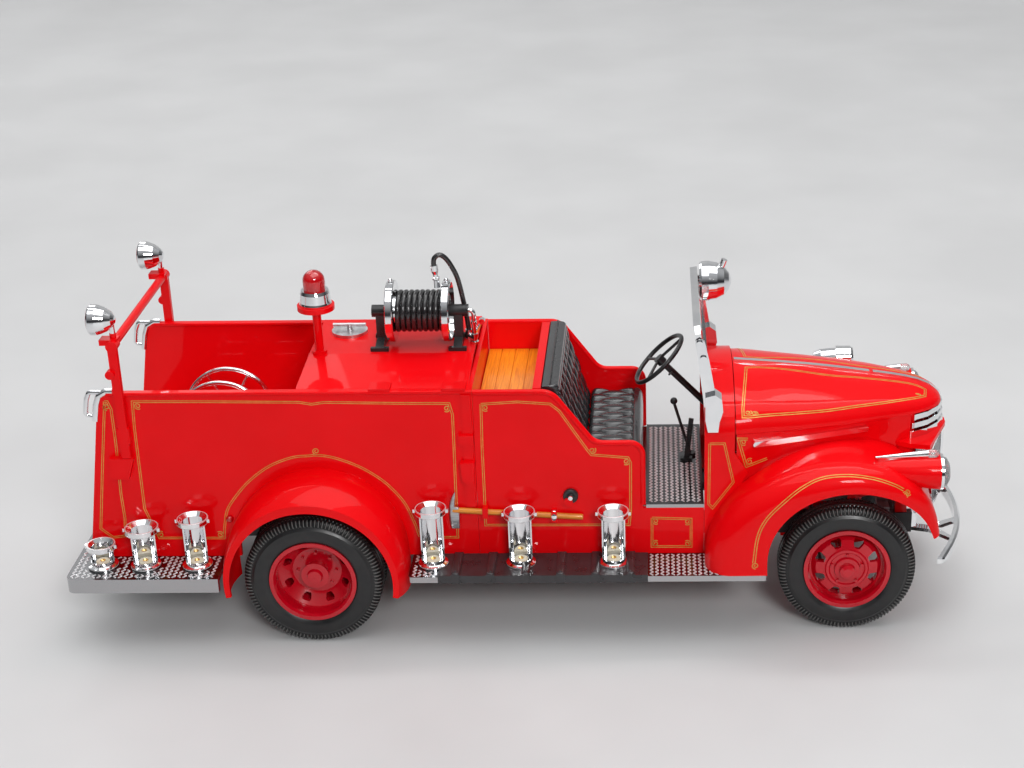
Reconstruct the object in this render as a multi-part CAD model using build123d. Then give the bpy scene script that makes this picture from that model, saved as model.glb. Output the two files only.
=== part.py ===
from build123d import *
import math
import os

# Open-cab fire engine, a die-cast scale model of a 1940s pumper.
# Millimetres. +X forward, +Y to the left, +Z up, wheels stand on z = 0.
# While it is drawn, x = 0 is the rear axle; it is moved to the middle of
# the model's length when each piece is written.

# Overall places
WHEELBASE = 169.3
DRAWN_BASE = 169.3      # wheelbase for which the front half is drawn
LONGER = WHEELBASE - DRAWN_BASE     # the front half moves ahead by this
TAIL_X = -77.5          # rear edge of the tailboard
BUMPER_X = 209.5        # front of the bumper
SIDE_Y = 45.8           # edge of the boards, half of the overall width
WALL_Y = 30.4           # outer face of the body walls
WALL_T = 1.4            # body wall thickness
SKIN_T = 1.2            # fender, hood and deck skin thickness
RIM_TOP = 82.4          # top rim of the hose body and cab sides
BODY_FRONT = 52.0       # seam between hose body and cab
BOARD_TOP = 25.0        # top of running boards and tailboard
SEAT_GAP = 0.1          # narrow gap where painted panels meet

# Wheels
TYRE_R = 21.9
TYRE_W = 9.6
BARREL_R = 12.0
BEAD_R = BARREL_R + 0.9
FLANGE_R = BARREL_R + 1.8
FLANGE_T = 0.6
FRONT_TYRE_Y = 32.2     # middle plane of a front tyre
REAR_TYRE_Y = 38.2      # middle plane of the outer rear tyre
DUAL_PITCH = 10.2       # between the two tyres of a rear pair
SPINDLE_R = 1.5
RUN_CLEAR = 0.05        # radial running clearance of shafts
FRONT_HOLES = 8
REAR_HOLES = 8
FRONT_NUTS = 5

# Steering
KINGPIN_Y = 24.4
KINGPIN_R = 1.1
EYE_R = 2.4
EYE_H = 5.0
EAR_T = 1.8
EAR_GAP = 0.2
STEER_ARM = 7.0
TIE_PIN_R = 0.6
TIE_SLOT = 1.5          # length of the slot in each tie rod eye

# Frame
RAIL_Y = 14.0
RAIL_T = 3.0
RAIL_H = 7.0
RAIL_REAR = -69.4
RAIL_FRONT = 192.0
MEMBER_T = 3.0
MEMBER_H = 5.0
MEMBERS_X = (-66.0, -38.0, 44.0)         # cross members of the rear half
AHEAD_X = (96.0, 150.0, 188.0)           # and of the front half
PROP_R = 1.2
PROP_CLEAR = 0.8
GEARBOX_X = 128.0
GEARBOX_Z = 38.0

# Hose body
TAIL_LOW_X = -73.2      # rear edge of the walls at the tailboard
TAIL_TOP_X = -64.8      # rear edge of the walls near the rim
TAIL_TOP_Z = 78.0
RIM_OUT = 0.5           # rolled rim stands this far out of the wall
RIM_IN = 0.8
RIM_H = 1.2
BED_Z = 45.9            # top of the bed floor
BED_T = 0.9
ARCH_X = 1.5            # centre of the seam between wall and rear fender
ARCH_Z = 28.0
ARCH_R = 27.9
ARCH_LAP = 0.6          # the wall reaches this far behind the fender

# Tank deck
DECK_REAR = -1.0
SLOPE_REAR = -12.0
DECK_SIDE_Z = 82.2
DECK_TOP_Z = 85.0
DECK_NEAR_Y = -6.0
DECK_FAR_Y = 24.0
DECK_TABS = ((20.0, 26.6), (42.6, 50.0))    # tabs that hold the deck's edge
TAB_T = 0.8

# Cab
BENCH_BACK_X = 72.0     # front face of the red panel behind the seat
CAB_TOP_END = 76.4
NOTCH_X = 90.0
NOTCH_Z = 64.8
CAB_FRONT = 105.5
CAB_TOP_R = 6.0
CAB_NOTCH_R = 6.0
CAB_CORNER_R = 4.0
BEAD_ROLL = 0.95        # radius of the rolled edge of the cab sides
BEAD_DROP = 0.95        # its middle lies this far below the edge
FLOOR_Z = 42.5
FLOOR_T = 1.2
BENCH_Z = 52.2          # top of the bench that carries the cushion
CUSHION_TOP = 58.0
CUSHION_GAP = 0.3
BACK_TOP = 82.8
WOOD_Z = 72.0
WOOD_T = 1.2
PLANKS = 4
PLANK_GAP = 0.3

# Cowl and hood
COWL_REAR = 124.0
COWL_FRONT = 133.5
COWL_TOP = 80.0
HOOD_REAR = 133.8
HOOD_EDGE_Z = 66.0      # lower edge of the hood
HOOD_TIP = 201.3
NOSE_LOW_Z = 46.0
BLADE_Z = 56.0          # underside of the V blade over the lower grille
BLADE_T = 1.6
GRILLE_LOW_Z = 31.0
GRILLE_HALF = 20.0
GRILLE_FOOT = 12.0
GRILLE_X = 196.6
GRILLE_PROW = 203.2
GRILLE_BARS = 9
UPPER_BARS = 3

# Front fenders
LIP_Y = 45.8
FENDER_ARC = 8.0

# Lamps
LAMP_X = 197.0
LAMP_Y = 34.5
LAMP_Z = 55.4
LAMP_R = 5.5
MARKER_Z = 61.6

# Steering wheel
HELM = (110.0, 14.0, 74.0)
HELM_R = 10.4
HELM_ROD = 0.75
COLUMN_TILT = 46.0
COLUMN_R = 1.1
HELM_GAP = 0.3          # running gap between the wheel's hub and the column

# Windshield
SHIELD_FOOT_X = 127.0
SHIELD_FOOT_Z = 67.5
SHIELD_H = 34.7
SHIELD_LEAN = 8.9
SHIELD_HALF = 28.8
SHIELD_ROD = 1.7

# Hose reel on the deck
REEL_Y = 2.0
REEL_Z = 96.5
REEL_LEFT = 24.1        # middle of each flange
REEL_RIGHT = 42.0
FLANGE_OUT = 10.0
FLANGE_WIDE = 2.5
FLANGE_WEB = 0.3        # outer face of the web from the flange's middle
DRUM_R = 5.2
HOSE_D = 1.64
HOSE_TURNS = 9

# Reel in the bed
RING_R = 14.0
RING_ROD = 0.68
RING_Y = 5.75
BED_REEL_X = -32.4
BED_REEL_Z = 61.0
BED_DRUM_R = 5.5
BED_SPOKES = 6
BED_AXLE_R = 1.0

AXLE_Z = TYRE_R
RAIL_TOP = BOARD_TOP + RAIL_H
WALL_IN = WALL_Y - WALL_T
FRONT_TYRE_IN = FRONT_TYRE_Y - TYRE_W / 2
MID_X = (TAIL_X + BUMPER_X) / 2
BOARD_T = 2.0
TAILBOARD_T = 4.8

os.makedirs("parts", exist_ok=True)


def block(x0, x1, y0, y1, z0, z1):
    """A box between two corners."""
    size = Box(x1 - x0, y1 - y0, z1 - z0)
    return Pos((x0 + x1) / 2, (y0 + y1) / 2, (z0 + z1) / 2) * size


def rod(a, b, r):
    """A round bar from point a to point b."""
    start = Vector(*a)
    line = Vector(*b) - start
    plane = Plane(origin=start, z_dir=line)
    return extrude(plane * Circle(r), line.length)


def side_plate(points, y0, y1):
    """A flat plate whose outline is given in (x, z), from y0 to y1."""
    face = make_face(Polyline(*points, close=True))
    plane = Plane(origin=(0, y1, 0), x_dir=(1, 0, 0), z_dir=(0, -1, 0))
    return extrude(plane * face, y1 - y0)


def top_plate(points, z0, z1):
    """A flat plate whose outline is given in (x, y), from z0 to z1."""
    face = make_face(Polyline(*points, close=True))
    return extrude(Pos(0, 0, z0) * face, z1 - z0)


def cross_plate(points, x0, x1):
    """A flat plate whose outline is given in (y, z), from x0 to x1."""
    face = make_face(Polyline(*points, close=True))
    plane = Plane(origin=(x0, 0, 0), x_dir=(0, 1, 0), z_dir=(1, 0, 0))
    return extrude(plane * face, x1 - x0)


def turned_y(points, x, z):
    """A turned piece about an axis along Y; points are (radius, y)."""
    face = make_face(Polyline(*points, close=True))
    return Pos(x, 0, z) * revolve(face, Axis.Y)


def turned_z(points, x, y):
    """A turned piece about a vertical axis; points are (radius, z)."""
    face = make_face(Polyline(*points, close=True))
    return Pos(x, y, 0) * revolve(Plane.XZ * face, Axis.Z)


def turned_x(points, y, z):
    """A turned piece about an axis along X; points are (x, radius)."""
    face = make_face(Polyline(*points, close=True))
    return Pos(0, y, z) * revolve(Plane.XZ * face, Axis.X)


def across(shape):
    """The same piece on the other side of the model."""
    return mirror(shape, about=Plane.XZ)


def both(shape):
    """A piece and its twin on the other side."""
    return [shape, across(shape)]


def fuse(pieces):
    """One solid from touching pieces."""
    whole = pieces[0]
    for piece in pieces[1:]:
        whole = whole + piece
    return whole


# Frame and running gear

def prop_line():
    """Both ends of the propeller shaft."""
    tail = GEARBOX_X + LONGER
    return (4.0, 0, AXLE_Z), (tail + 1.0, 0, GEARBOX_Z - 3.7)


def frame():
    outer = RAIL_Y + RAIL_T
    front = RAIL_FRONT + LONGER
    rail = block(RAIL_REAR, front, RAIL_Y, outer, BOARD_TOP, RAIL_TOP)
    web = block(RAIL_REAR - 1, front + 1, RAIL_Y - 1, outer - 1,
                BOARD_TOP + 1, RAIL_TOP - 1)
    rail = rail - web
    pieces = both(rail)
    low = BOARD_TOP + (RAIL_H - MEMBER_H) / 2
    for x in list(MEMBERS_X) + [x + LONGER for x in AHEAD_X]:
        pieces.append(block(x - MEMBER_T / 2, x + MEMBER_T / 2,
                            -outer + 0.5, outer - 0.5, low, low + MEMBER_H))
    whole = fuse(pieces)
    a, b = prop_line()
    return whole - rod(a, b, PROP_R + PROP_CLEAR)


def leaf_pack(x, half, y0, y1, low, arch):
    """Leaf spring from the axle pad up to the rail."""
    outline = [(x - half, BOARD_TOP), (x - half, BOARD_TOP - 1.0),
               (x - 4, low), (x + 4, low),
               (x + half, BOARD_TOP - 1.0), (x + half, BOARD_TOP),
               (x + half - 2, BOARD_TOP), (x + 4, low + arch),
               (x - 4, low + arch), (x - half + 2, BOARD_TOP)]
    return side_plate(outline, y0, y1)


def gearbox(r):
    """Gearbox barrel behind the engine."""
    return rod((GEARBOX_X, 0, GEARBOX_Z - 4), (141, 0, GEARBOX_Z), r)


def rear_axle():
    tube_end = REAR_TYRE_Y - DUAL_PITCH - TYRE_W / 2 - 0.6
    tube = rod((0, -tube_end, AXLE_Z), (0, tube_end, AXLE_Z), 2.3)
    end = REAR_TYRE_Y - 1.0
    spindle = rod((0, -end, AXLE_Z), (0, end, AXLE_Z), SPINDLE_R)
    bowl = turned_y([(0, -3.6), (5.2, -3.2), (6.4, -1.2), (6.4, 1.2),
                     (5.2, 3.2), (0, 3.6)], 0, AXLE_Z)
    a, b = prop_line()
    shaft = rod(a, b, PROP_R) - Pos(LONGER, 0, 0) * gearbox(6.0)
    nose = rod(a, (9, 0, AXLE_Z + 0.6), 2.4)
    pieces = [tube, spindle, bowl, shaft, nose]
    y0 = RAIL_Y
    y1 = RAIL_Y + RAIL_T
    low = AXLE_Z + 1.0
    for side in both(leaf_pack(0, 22, y0, y1, low, 1.2)):
        pieces.append(side)
    return fuse(pieces)


def front_axle():
    """I-beam with an eye for the kingpin at each end."""
    x = WHEELBASE
    beam_z = AXLE_Z - 2.0
    outline = [(-KINGPIN_Y, beam_z + 0.1), (-KINGPIN_Y, beam_z + 3.4),
               (-18.5, beam_z + 1.2), (18.5, beam_z + 1.2),
               (KINGPIN_Y, beam_z + 3.4), (KINGPIN_Y, beam_z + 0.1),
               (18.5, beam_z - 1.6), (-18.5, beam_z - 1.6)]
    beam = cross_plate(outline, x - 1.5, x + 1.5)
    pieces = [beam]
    low = AXLE_Z - EYE_H / 2
    for s in (-1, 1):
        eye = rod((x, s * KINGPIN_Y, low), (x, s * KINGPIN_Y, low + EYE_H), EYE_R)
        pieces.append(eye)
        spring = leaf_pack(x, 20, RAIL_Y, RAIL_Y + RAIL_T, beam_z + 1.2, 1.4)
        pieces.append(spring if s > 0 else across(spring))
    whole = fuse(pieces)
    for s in (-1, 1):
        whole = whole - rod((x, s * KINGPIN_Y, 0), (x, s * KINGPIN_Y, 40),
                            KINGPIN_R + RUN_CLEAR)
    return whole


def knuckle():
    """Left steering knuckle: two ears, kingpin, spindle and arm."""
    x = WHEELBASE
    low = AXLE_Z - EYE_H / 2 - EAR_GAP
    high = AXLE_Z + EYE_H / 2 + EAR_GAP
    web_in = KINGPIN_Y + EYE_R + 0.5
    web_out = web_in + 1.3
    ear = Pos(x, KINGPIN_Y, 0) * Cylinder(2.2, EAR_T)
    arm_out = block(x - 2.2, x + 2.2, KINGPIN_Y, web_out,
                    -EAR_T / 2, EAR_T / 2)
    plate = ear + arm_out
    upper = Pos(0, 0, high + EAR_T / 2) * plate
    lower = Pos(0, 0, low - EAR_T / 2) * plate
    web = block(x - 2.2, x + 2.2, web_in, web_out,
                low - EAR_T, high + EAR_T)
    pin = rod((x, KINGPIN_Y, low - EAR_T), (x, KINGPIN_Y, high + EAR_T),
              KINGPIN_R)
    spindle = rod((x, web_in, AXLE_Z),
                  (x, FRONT_TYRE_Y + 3.4, AXLE_Z), SPINDLE_R)
    arm = block(x - STEER_ARM - 1.2, x, KINGPIN_Y - 1.2, KINGPIN_Y + 1.2,
                low - EAR_T, low - 0.6)
    ball = rod((x - STEER_ARM, KINGPIN_Y, low - EAR_T - 2.2),
               (x - STEER_ARM, KINGPIN_Y, low - 0.6), TIE_PIN_R)
    return fuse([upper, lower, web, pin, spindle, arm, ball])


def tie_rod():
    """Cross rod; a slot in each eye lets the arms swing."""
    x = WHEELBASE - STEER_ARM
    top = AXLE_Z - EYE_H / 2 - EAR_GAP - EAR_T - EAR_GAP
    z = top - 0.8
    bar = rod((x, -KINGPIN_Y, z), (x, KINGPIN_Y, z), 0.7)
    whole = bar
    for s in (-1, 1):
        y = s * KINGPIN_Y
        whole = whole + rod((x, y, z - 0.8), (x, y, z + 0.8), 1.7)
    for s in (-1, 1):
        y = s * KINGPIN_Y
        slot = SlotOverall(TIE_SLOT + 2 * TIE_PIN_R, 2 * (TIE_PIN_R + 0.08))
        cut = extrude(Pos(x + 0.15, y, z - 2) * slot, 4)
        whole = whole - cut
    return whole


# Wheels, each drawn with its middle plane at y = 0, outside towards +y

def tyre_shape():
    half = TYRE_W / 2
    seat = half - 1.2
    a = (BEAD_R, seat)
    b = (FLANGE_R, seat + 0.2)
    c = (FLANGE_R + 0.5, half - 0.35)
    d = (17.6, half)
    e = (TYRE_R - 1.3, half - 0.55)
    f = (TYRE_R, half - 1.7)
    points = [a, b, c, d, e, f]
    points += [(r, -y) for r, y in reversed(points)]
    return turned_y(points, 0, 0)


def rim_barrel(out):
    """Rim bed with a flange at both edges."""
    seat = TYRE_W / 2 - 1.2
    edge = seat + 0.2 + FLANGE_T
    points = [(BARREL_R, -edge), (FLANGE_R, -edge), (FLANGE_R, -seat - 0.2),
              (BEAD_R, -seat), (BEAD_R, seat), (FLANGE_R, seat + 0.2),
              (FLANGE_R, edge), (BARREL_R + 0.5, edge), (BARREL_R, edge - 1.0)]
    return turned_y(points, 0, 0)


def hand_hole(radius, wide, deep, angle):
    """Rounded wedge cut through the wheel disc."""
    outline = [(radius + deep / 2, -wide / 2), (radius + deep / 2, wide / 2),
               (radius - deep / 2, 0.9), (radius - deep / 2, -0.9)]
    face = make_face(Polyline(*outline, close=True))
    face = fillet(face.vertices(), 0.7)
    plane = Plane(origin=(0, 12, 0), x_dir=(1, 0, 0), z_dir=(0, -1, 0))
    cut = extrude(plane * face, 24)
    return Rot(0, angle, 0) * cut


def front_rim():
    disc = turned_y([(2.0, -1.6), (3.4, -1.6), (3.4, 2.0), (6.8, 2.2),
                     (BARREL_R - 2.8, 1.4), (BARREL_R - 1.4, -0.6),
                     (BARREL_R + 0.3, -0.6), (BARREL_R + 0.3, 0.6),
                     (BARREL_R - 0.8, 0.6), (BARREL_R - 2.2, 2.6),
                     (7.0, 3.4), (6.6, 3.9), (5.8, 3.9), (5.4, 3.5),
                     (4.2, 3.6), (3.9, 4.6), (2.6, 4.8), (2.4, 6.2),
                     (1.4, 6.6), (0, 6.6), (0, 3.8), (2.0, 3.8)], 0, 0)
    whole = rim_barrel(1) + disc
    bore = turned_y([(0, -8), (SPINDLE_R + RUN_CLEAR, -8),
                     (SPINDLE_R + RUN_CLEAR, 3.9), (0, 3.9)], 0, 0)
    core = turned_y([(0, -1.6), (3.0, -1.6), (3.0, 4.2), (0, 4.2)], 0, 0)
    whole = whole + core - bore
    for i in range(FRONT_HOLES):
        whole = whole - hand_hole(BARREL_R - 3.1, 4.2, 2.8,
                                  (i + 0.5) * 360 / FRONT_HOLES)
    for i in range(FRONT_NUTS):
        angle = math.radians(90 + i * 360 / FRONT_NUTS)
        x = 5.0 * math.cos(angle)
        z = 5.0 * math.sin(angle)
        whole = whole + rod((x, 3.2, z), (x, 4.4, z), 0.5)
    return whole


def rear_rims():
    """Outer and inner rim of a dual wheel on one hub."""
    outer = rim_barrel(1)
    inner = Pos(0, -DUAL_PITCH, 0) * rim_barrel(1)
    mid = -DUAL_PITCH / 2
    dish = turned_y([(3.0, mid), (8.2, mid), (BARREL_R + 0.3, mid + 3.2),
                     (BARREL_R + 0.3, mid + 4.4),
                     (BARREL_R - 0.4, mid + 4.4),
                     (7.8, mid + 1.3), (3.0, mid + 1.3)], 0, 0)
    back = turned_y([(3.0, mid), (8.2, mid), (BARREL_R + 0.3, mid - 3.2),
                     (BARREL_R + 0.3, mid - 4.4),
                     (BARREL_R - 0.4, mid - 4.4),
                     (7.8, mid - 1.3), (3.0, mid - 1.3)], 0, 0)
    for i in range(REAR_HOLES):
        cut = hand_hole(BARREL_R - 2.4, 3.6, 2.2,
                        (i + 0.5) * 360 / REAR_HOLES)
        dish = dish - cut
        back = back - cut
    hub_in = -DUAL_PITCH - TYRE_W / 2
    hub = turned_y([(0, hub_in), (3.4, hub_in), (3.4, -0.6), (4.4, -0.6),
                    (4.4, 0.3), (2.6, 0.5), (2.2, 1.6), (0, 1.8)], 0, 0)
    whole = fuse([outer, inner, dish, back, hub])
    bore = turned_y([(0, hub_in - 1), (SPINDLE_R + RUN_CLEAR, hub_in - 1),
                     (SPINDLE_R + RUN_CLEAR, -0.8), (0, -0.8)], 0, 0)
    whole = whole - bore
    for i in range(8):
        angle = math.radians(i * 45)
        x = 6.2 * math.cos(angle)
        z = 6.2 * math.sin(angle)
        whole = whole + rod((x, mid + 1.2, z), (x, mid + 2.3, z), 0.5)
    return whole


# Engine bay

def engine():
    low = BOARD_TOP + (RAIL_H + MEMBER_H) / 2
    parts = [block(141, 172, -6.5, 6.5, low, 56),
             block(142, 171, -5.0, 5.0, 56, 60),
             block(143, 170, -2.6, 2.6, 60, 61.5),
             gearbox(5.0),
             rod((151, 0, 61), (151, 0, 66.5), 4.6),
             rod((172, 0, 48), (176.5, 0, 48), 1.3)]
    for x in range(5):
        parts.append(rod((145 + x * 5.5, 6, 50), (145 + x * 5.5, 9.2, 50), 1.1))
    manifold = rod((144, 9.6, 50), (169, 9.6, 50), 1.4)
    fan = rod((176, 0, 48), (176.8, 0, 48), 3.0)
    for i in range(4):
        blade = Rot(i * 90, 0, 0) * block(-0.5, 0.5, 2.0, 9.0, -1.5, 1.5)
        fan = fan + Pos(176.4, 0, 48) * blade
    return fuse(parts + [manifold, fan])


def radiator():
    core = block(181, 184.6, -12, 12, RAIL_TOP, 60)
    tank = block(180.6, 185, -12, 12, 60, 63.5)
    legs = [block(181, 184.6, s * 14 - 3, s * 14 + 3, RAIL_TOP, RAIL_TOP + 2)
            for s in (-1, 1)]
    return fuse([core, tank] + legs)


# Hood, cowl and nose.
# Sections of the hood: x, half width, crease y, crease z, top z
HOOD_SECTIONS = [
    (133.8, 28.8, 22.0, 74.2, 79.4),
    (148.0, 26.4, 20.4, 73.6, 78.3),
    (164.0, 23.2, 17.9, 72.8, 76.7),
    (180.0, 18.6, 14.2, 71.8, 74.5),
    (192.0, 13.8, 10.4, 70.2, 72.4),
    (198.4, 9.2, 6.9, 68.6, 69.9),
    (201.3, 4.2, 3.0, 66.9, 67.3),
]


def hood_section(x, half, cy, cz, top, drop, inset):
    """Closed section across the hood, flat below, creased at each side."""
    base = HOOD_EDGE_Z - drop
    h = half - inset
    y = cy - inset * 0.7
    z = cz - inset * 0.7
    t = top - inset
    bulge_y = h - (h - y) * 0.28
    bulge_z = base + (z - base) * 0.62
    right = Polyline((-h, base), (h, base))
    side = ThreePointArc((h, base), (bulge_y, bulge_z), (y, z))
    crown = ThreePointArc((y, z), (0, t), (-y, z))
    other = ThreePointArc((-y, z), (-bulge_y, bulge_z), (-h, base))
    face = make_face([right.edge(), side, crown, other])
    plane = Plane(origin=(x, 0, 0), x_dir=(0, 1, 0), z_dir=(1, 0, 0))
    return plane * face


def hood_form(drop, inset):
    faces = []
    for x, half, cy, cz, top in HOOD_SECTIONS:
        faces.append(hood_section(x, half, cy, cz, top, drop, inset))
    return loft(faces)


def hood():
    outer = hood_form(0, 0)
    faces = []
    for x, half, cy, cz, top in HOOD_SECTIONS[:-1]:
        at = x - 2.0 if x == HOOD_REAR else x - SKIN_T * 0.6
        faces.append(hood_section(at, half, cy, cz, top, 1.0, SKIN_T))
    return outer - loft(faces)


def hood_strip():
    """Raised strip along the middle of the hood, in two lengths."""
    tops = [(x, top) for x, half, cy, cz, top in HOOD_SECTIONS]
    edge = Spline(*tops)
    upper = [edge @ (i / 16) for i in range(17)]
    outline = [(p.X, p.Y + 0.55) for p in upper]
    outline.append((HOOD_TIP + 0.6, HOOD_EDGE_Z + 1.0))
    outline.append((HOOD_TIP - 1.2, HOOD_EDGE_Z + 0.4))
    outline += [(p.X, p.Y - 1.2) for p in reversed(upper[:-1])]
    strip = side_plate(outline, -0.9, 0.9) - hood_form(0, 0)
    strip = strip - block(178.2, 179.4, -3, 3, 60, 90)
    keep = block(HOOD_REAR + 0.4, HOOD_TIP + 3, -3, 3, HOOD_EDGE_Z, 90)
    return strip & keep


def cowl_face(inset, base):
    half = WALL_Y - inset
    cy = 23.2 - inset * 0.7
    cz = 74.8 - inset * 0.7
    top = COWL_TOP - inset
    bulge_y = half - (half - cy) * 0.28
    bulge_z = HOOD_EDGE_Z + (cz - HOOD_EDGE_Z) * 0.62
    lines = [Line((-half, base), (half, base)),
             Line((half, base), (half, HOOD_EDGE_Z)),
             ThreePointArc((half, HOOD_EDGE_Z), (bulge_y, bulge_z), (cy, cz)),
             ThreePointArc((cy, cz), (0, top), (-cy, cz)),
             ThreePointArc((-cy, cz), (-bulge_y, bulge_z),
                           (-half, HOOD_EDGE_Z)),
             Line((-half, HOOD_EDGE_Z), (-half, base))]
    return make_face(lines)


def cowl():
    """Cowl skin, firewall, dash and the side panels down to the board."""
    plane = Plane(origin=(COWL_REAR, 0, 0), x_dir=(0, 1, 0), z_dir=(1, 0, 0))
    depth = COWL_FRONT - COWL_REAR
    low = FLOOR_Z
    skin = extrude(plane * cowl_face(0, low), depth)
    room = extrude(plane * cowl_face(WALL_T, low - 1), depth - WALL_T)
    whole = skin - room
    dash = extrude(plane * cowl_face(WALL_T - 0.2, 71.0), 1.0)
    side = side_plate([(COWL_REAR, BOARD_TOP), (COWL_REAR, HOOD_EDGE_Z),
                       (COWL_FRONT, HOOD_EDGE_Z), (COWL_FRONT, 60),
                       (137.6, 53.6), (133.6, 45), (129.6, 36),
                       (127.4, BOARD_TOP)], WALL_IN, WALL_Y)
    return fuse([whole, dash] + both(side))


# Plan of the nose wall: x, half width
NOSE_PLAN = [(133.8, 29.0), (148.0, 26.6), (164.0, 23.2), (180.0, 18.6),
             (191.5, 14.0)]


def nose_side(inset):
    """Points along one side of the nose, widest at the cowl."""
    return [(x, half - inset) for x, half in NOSE_PLAN]


def nose():
    """Side walls under the hood and the V blade over the grille."""
    def ring(inset, z0, z1):
        left = nose_side(inset)
        points = left + [(x, -y) for x, y in reversed(left)]
        return top_plate(points, z0, z1)
    top = HOOD_EDGE_Z - SEAT_GAP
    wall = ring(0, NOSE_LOW_Z, top) - ring(SKIN_T, NOSE_LOW_Z - 1, top + 1)
    wall = wall - block(190.3, 196, -30, 30, BLADE_Z + BLADE_T, top + 1)
    wall = wall - block(131, 134.1, -30, 30, NOSE_LOW_Z - 1, top + 1)
    slit = GRILLE_HALF
    blade = top_plate([(184.8, 16.0), (190.0, 18.6), (GRILLE_X - 0.4, slit),
                       (GRILLE_PROW + 0.4, 1.6), (GRILLE_PROW + 0.4, -1.6),
                       (GRILLE_X - 0.4, -slit), (190.0, -18.6),
                       (184.8, -16.0)], BLADE_Z, BLADE_Z + BLADE_T)
    hollow = top_plate([(180, 12.4), (189.0, 12.4), (197.0, 0),
                        (189.0, -12.4), (180, -12.4)],
                       BLADE_Z - 1, BLADE_Z + BLADE_T + 1)
    sill = block(186.5, 190.2, -16.0, 16.0, NOSE_LOW_Z, NOSE_LOW_Z + 3)
    stay = [block(186.5, 190.2, s * 15.4 - 1.2, s * 15.4 + 1.2,
                  RAIL_TOP, BLADE_Z + 0.5) for s in (-1, 1)]
    return fuse([wall, blade - hollow, sill] + stay)


def upper_bar(z0, z1, grow):
    """One bright bar bent round the prow."""
    outer = [(191.0, 14.1 + grow), (196.2, 11.0 + grow), (200.2, 6.4 + grow),
             (202.2 + grow, 1.6)]
    inner = [(191.0, 12.7), (195.4, 9.7), (199.0, 5.4), (200.8, 1.0)]
    points = outer + [(x, -y) for x, y in reversed(outer)]
    points += [(x, -y) for x, y in inner]
    points += [(x, y) for x, y in reversed(inner)]
    return top_plate(points, z0, z1)


def nose_trim():
    """Upper grille bars with their end posts, and the side strips."""
    base = BLADE_Z + BLADE_T
    room = HOOD_EDGE_Z - SEAT_GAP - base
    pitch = room / UPPER_BARS
    pieces = []
    for i in range(UPPER_BARS):
        z0 = base + i * pitch + (0 if i == 0 else 0.5)
        pieces.append(upper_bar(z0, base + (i + 1) * pitch - 0.5,
                                0.25 * (UPPER_BARS - 1 - i)))
    for s in (-1, 1):
        pieces.append(block(190.4, 191.6, s * 13.4 - 0.7, s * 13.4 + 0.7,
                            base, HOOD_EDGE_Z - SEAT_GAP))
    pieces.append(block(200.0, 201.0, -0.8, 0.8, base,
                        HOOD_EDGE_Z - SEAT_GAP))
    grille = fuse(pieces)
    strips = []
    left = nose_side(0)
    x0, y0 = left[0]
    for s in (-1, 1):
        a = Vector(139.0, s * 28.3, 62.6)
        b = Vector(176.0, s * 20.0, 64.2)
        run = b - a
        plane = Plane(origin=a, x_dir=run, z_dir=(run.Y, -run.X, 0))
        bar = extrude(plane * Pos(run.length / 2, 0) *
                      SlotOverall(run.length, 1.8), 1.4, both=True)
        strips.append(bar)
    wall = nose()
    return [grille] + [bar - wall - nose_inside() for bar in strips]


def nose_inside():
    """Everything inside the nose walls."""
    left = nose_side(0.2)
    points = left + [(x, -y) for x, y in reversed(left)]
    return top_plate(points, NOSE_LOW_Z, HOOD_EDGE_Z + 4)


def lower_grille():
    """V-shaped grille of fine upright bars that close in downwards."""
    plan = Vector(GRILLE_X - GRILLE_PROW, GRILLE_HALF, 0)
    long = plan.length
    foot = long * GRILLE_FOOT / GRILLE_HALF
    plane = Plane(origin=(GRILLE_PROW, 0, 0), x_dir=plan,
                  z_dir=(plan.Y, -plan.X, 0))
    top = BLADE_Z
    low = GRILLE_LOW_Z

    def bar(u0, u1, v0, v1, wide0, wide1, deep):
        outline = [(u0 - wide0, v0), (u0 + wide0, v0),
                   (u1 + wide1, v1), (u1 - wide1, v1)]
        face = make_face(Polyline(*outline, close=True))
        return extrude(plane * face, -deep)

    pieces = []
    for i in range(1, GRILLE_BARS):
        share = i / GRILLE_BARS
        pieces.append(bar(foot * share, long * share, low + 0.5, top,
                          0.3, 0.42, 1.0))
    pieces.append(bar(foot, long, low, top, 0.55, 0.55, 1.4))
    for v in (low, top - 1.2):
        u = foot if v == low else long - 0.3
        outline = [(0, v), (u, v), (u, v + 1.2), (0, v + 1.2)]
        face = make_face(Polyline(*outline, close=True))
        pieces.append(extrude(plane * face, -1.4))
    half = fuse(pieces)
    prow = block(GRILLE_PROW - 2.0, GRILLE_PROW + 0.3, -0.8, 0.8,
                 GRILLE_LOW_Z, BLADE_Z)
    z_low = GRILLE_LOW_Z
    bridge = block(186.6, GRILLE_PROW - 1.0, -3.0, 3.0, z_low, z_low + 1.6)
    return fuse([half, across(half), prow, bridge])


# Front fenders. Each row is one section in a plane through the wheel axis:
# angle, radius of the crown, radius of the lip, inner half width, outer y
FENDER_ROWS = [
    (177, 45.2, 26.0, 30.4, 45.8),
    (160, 45.4, 27.6, 30.4, 45.8),
    (144, 44.0, 29.4, 30.2, 45.8),
    (127, 42.0, 30.6, 29.4, 45.8),
    (108, 40.0, 31.2, 25.6, 45.8),
    (88, 38.8, 31.3, 21.2, 45.4),
    (68, 38.0, 31.2, 17.8, 44.4),
    (50, 36.2, 30.8, 18.6, 42.4),
    (36, 33.6, 30.0, 18.0, 40.6),
    (25, 31.4, 29.2, 15.6, 39.4),
]


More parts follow.
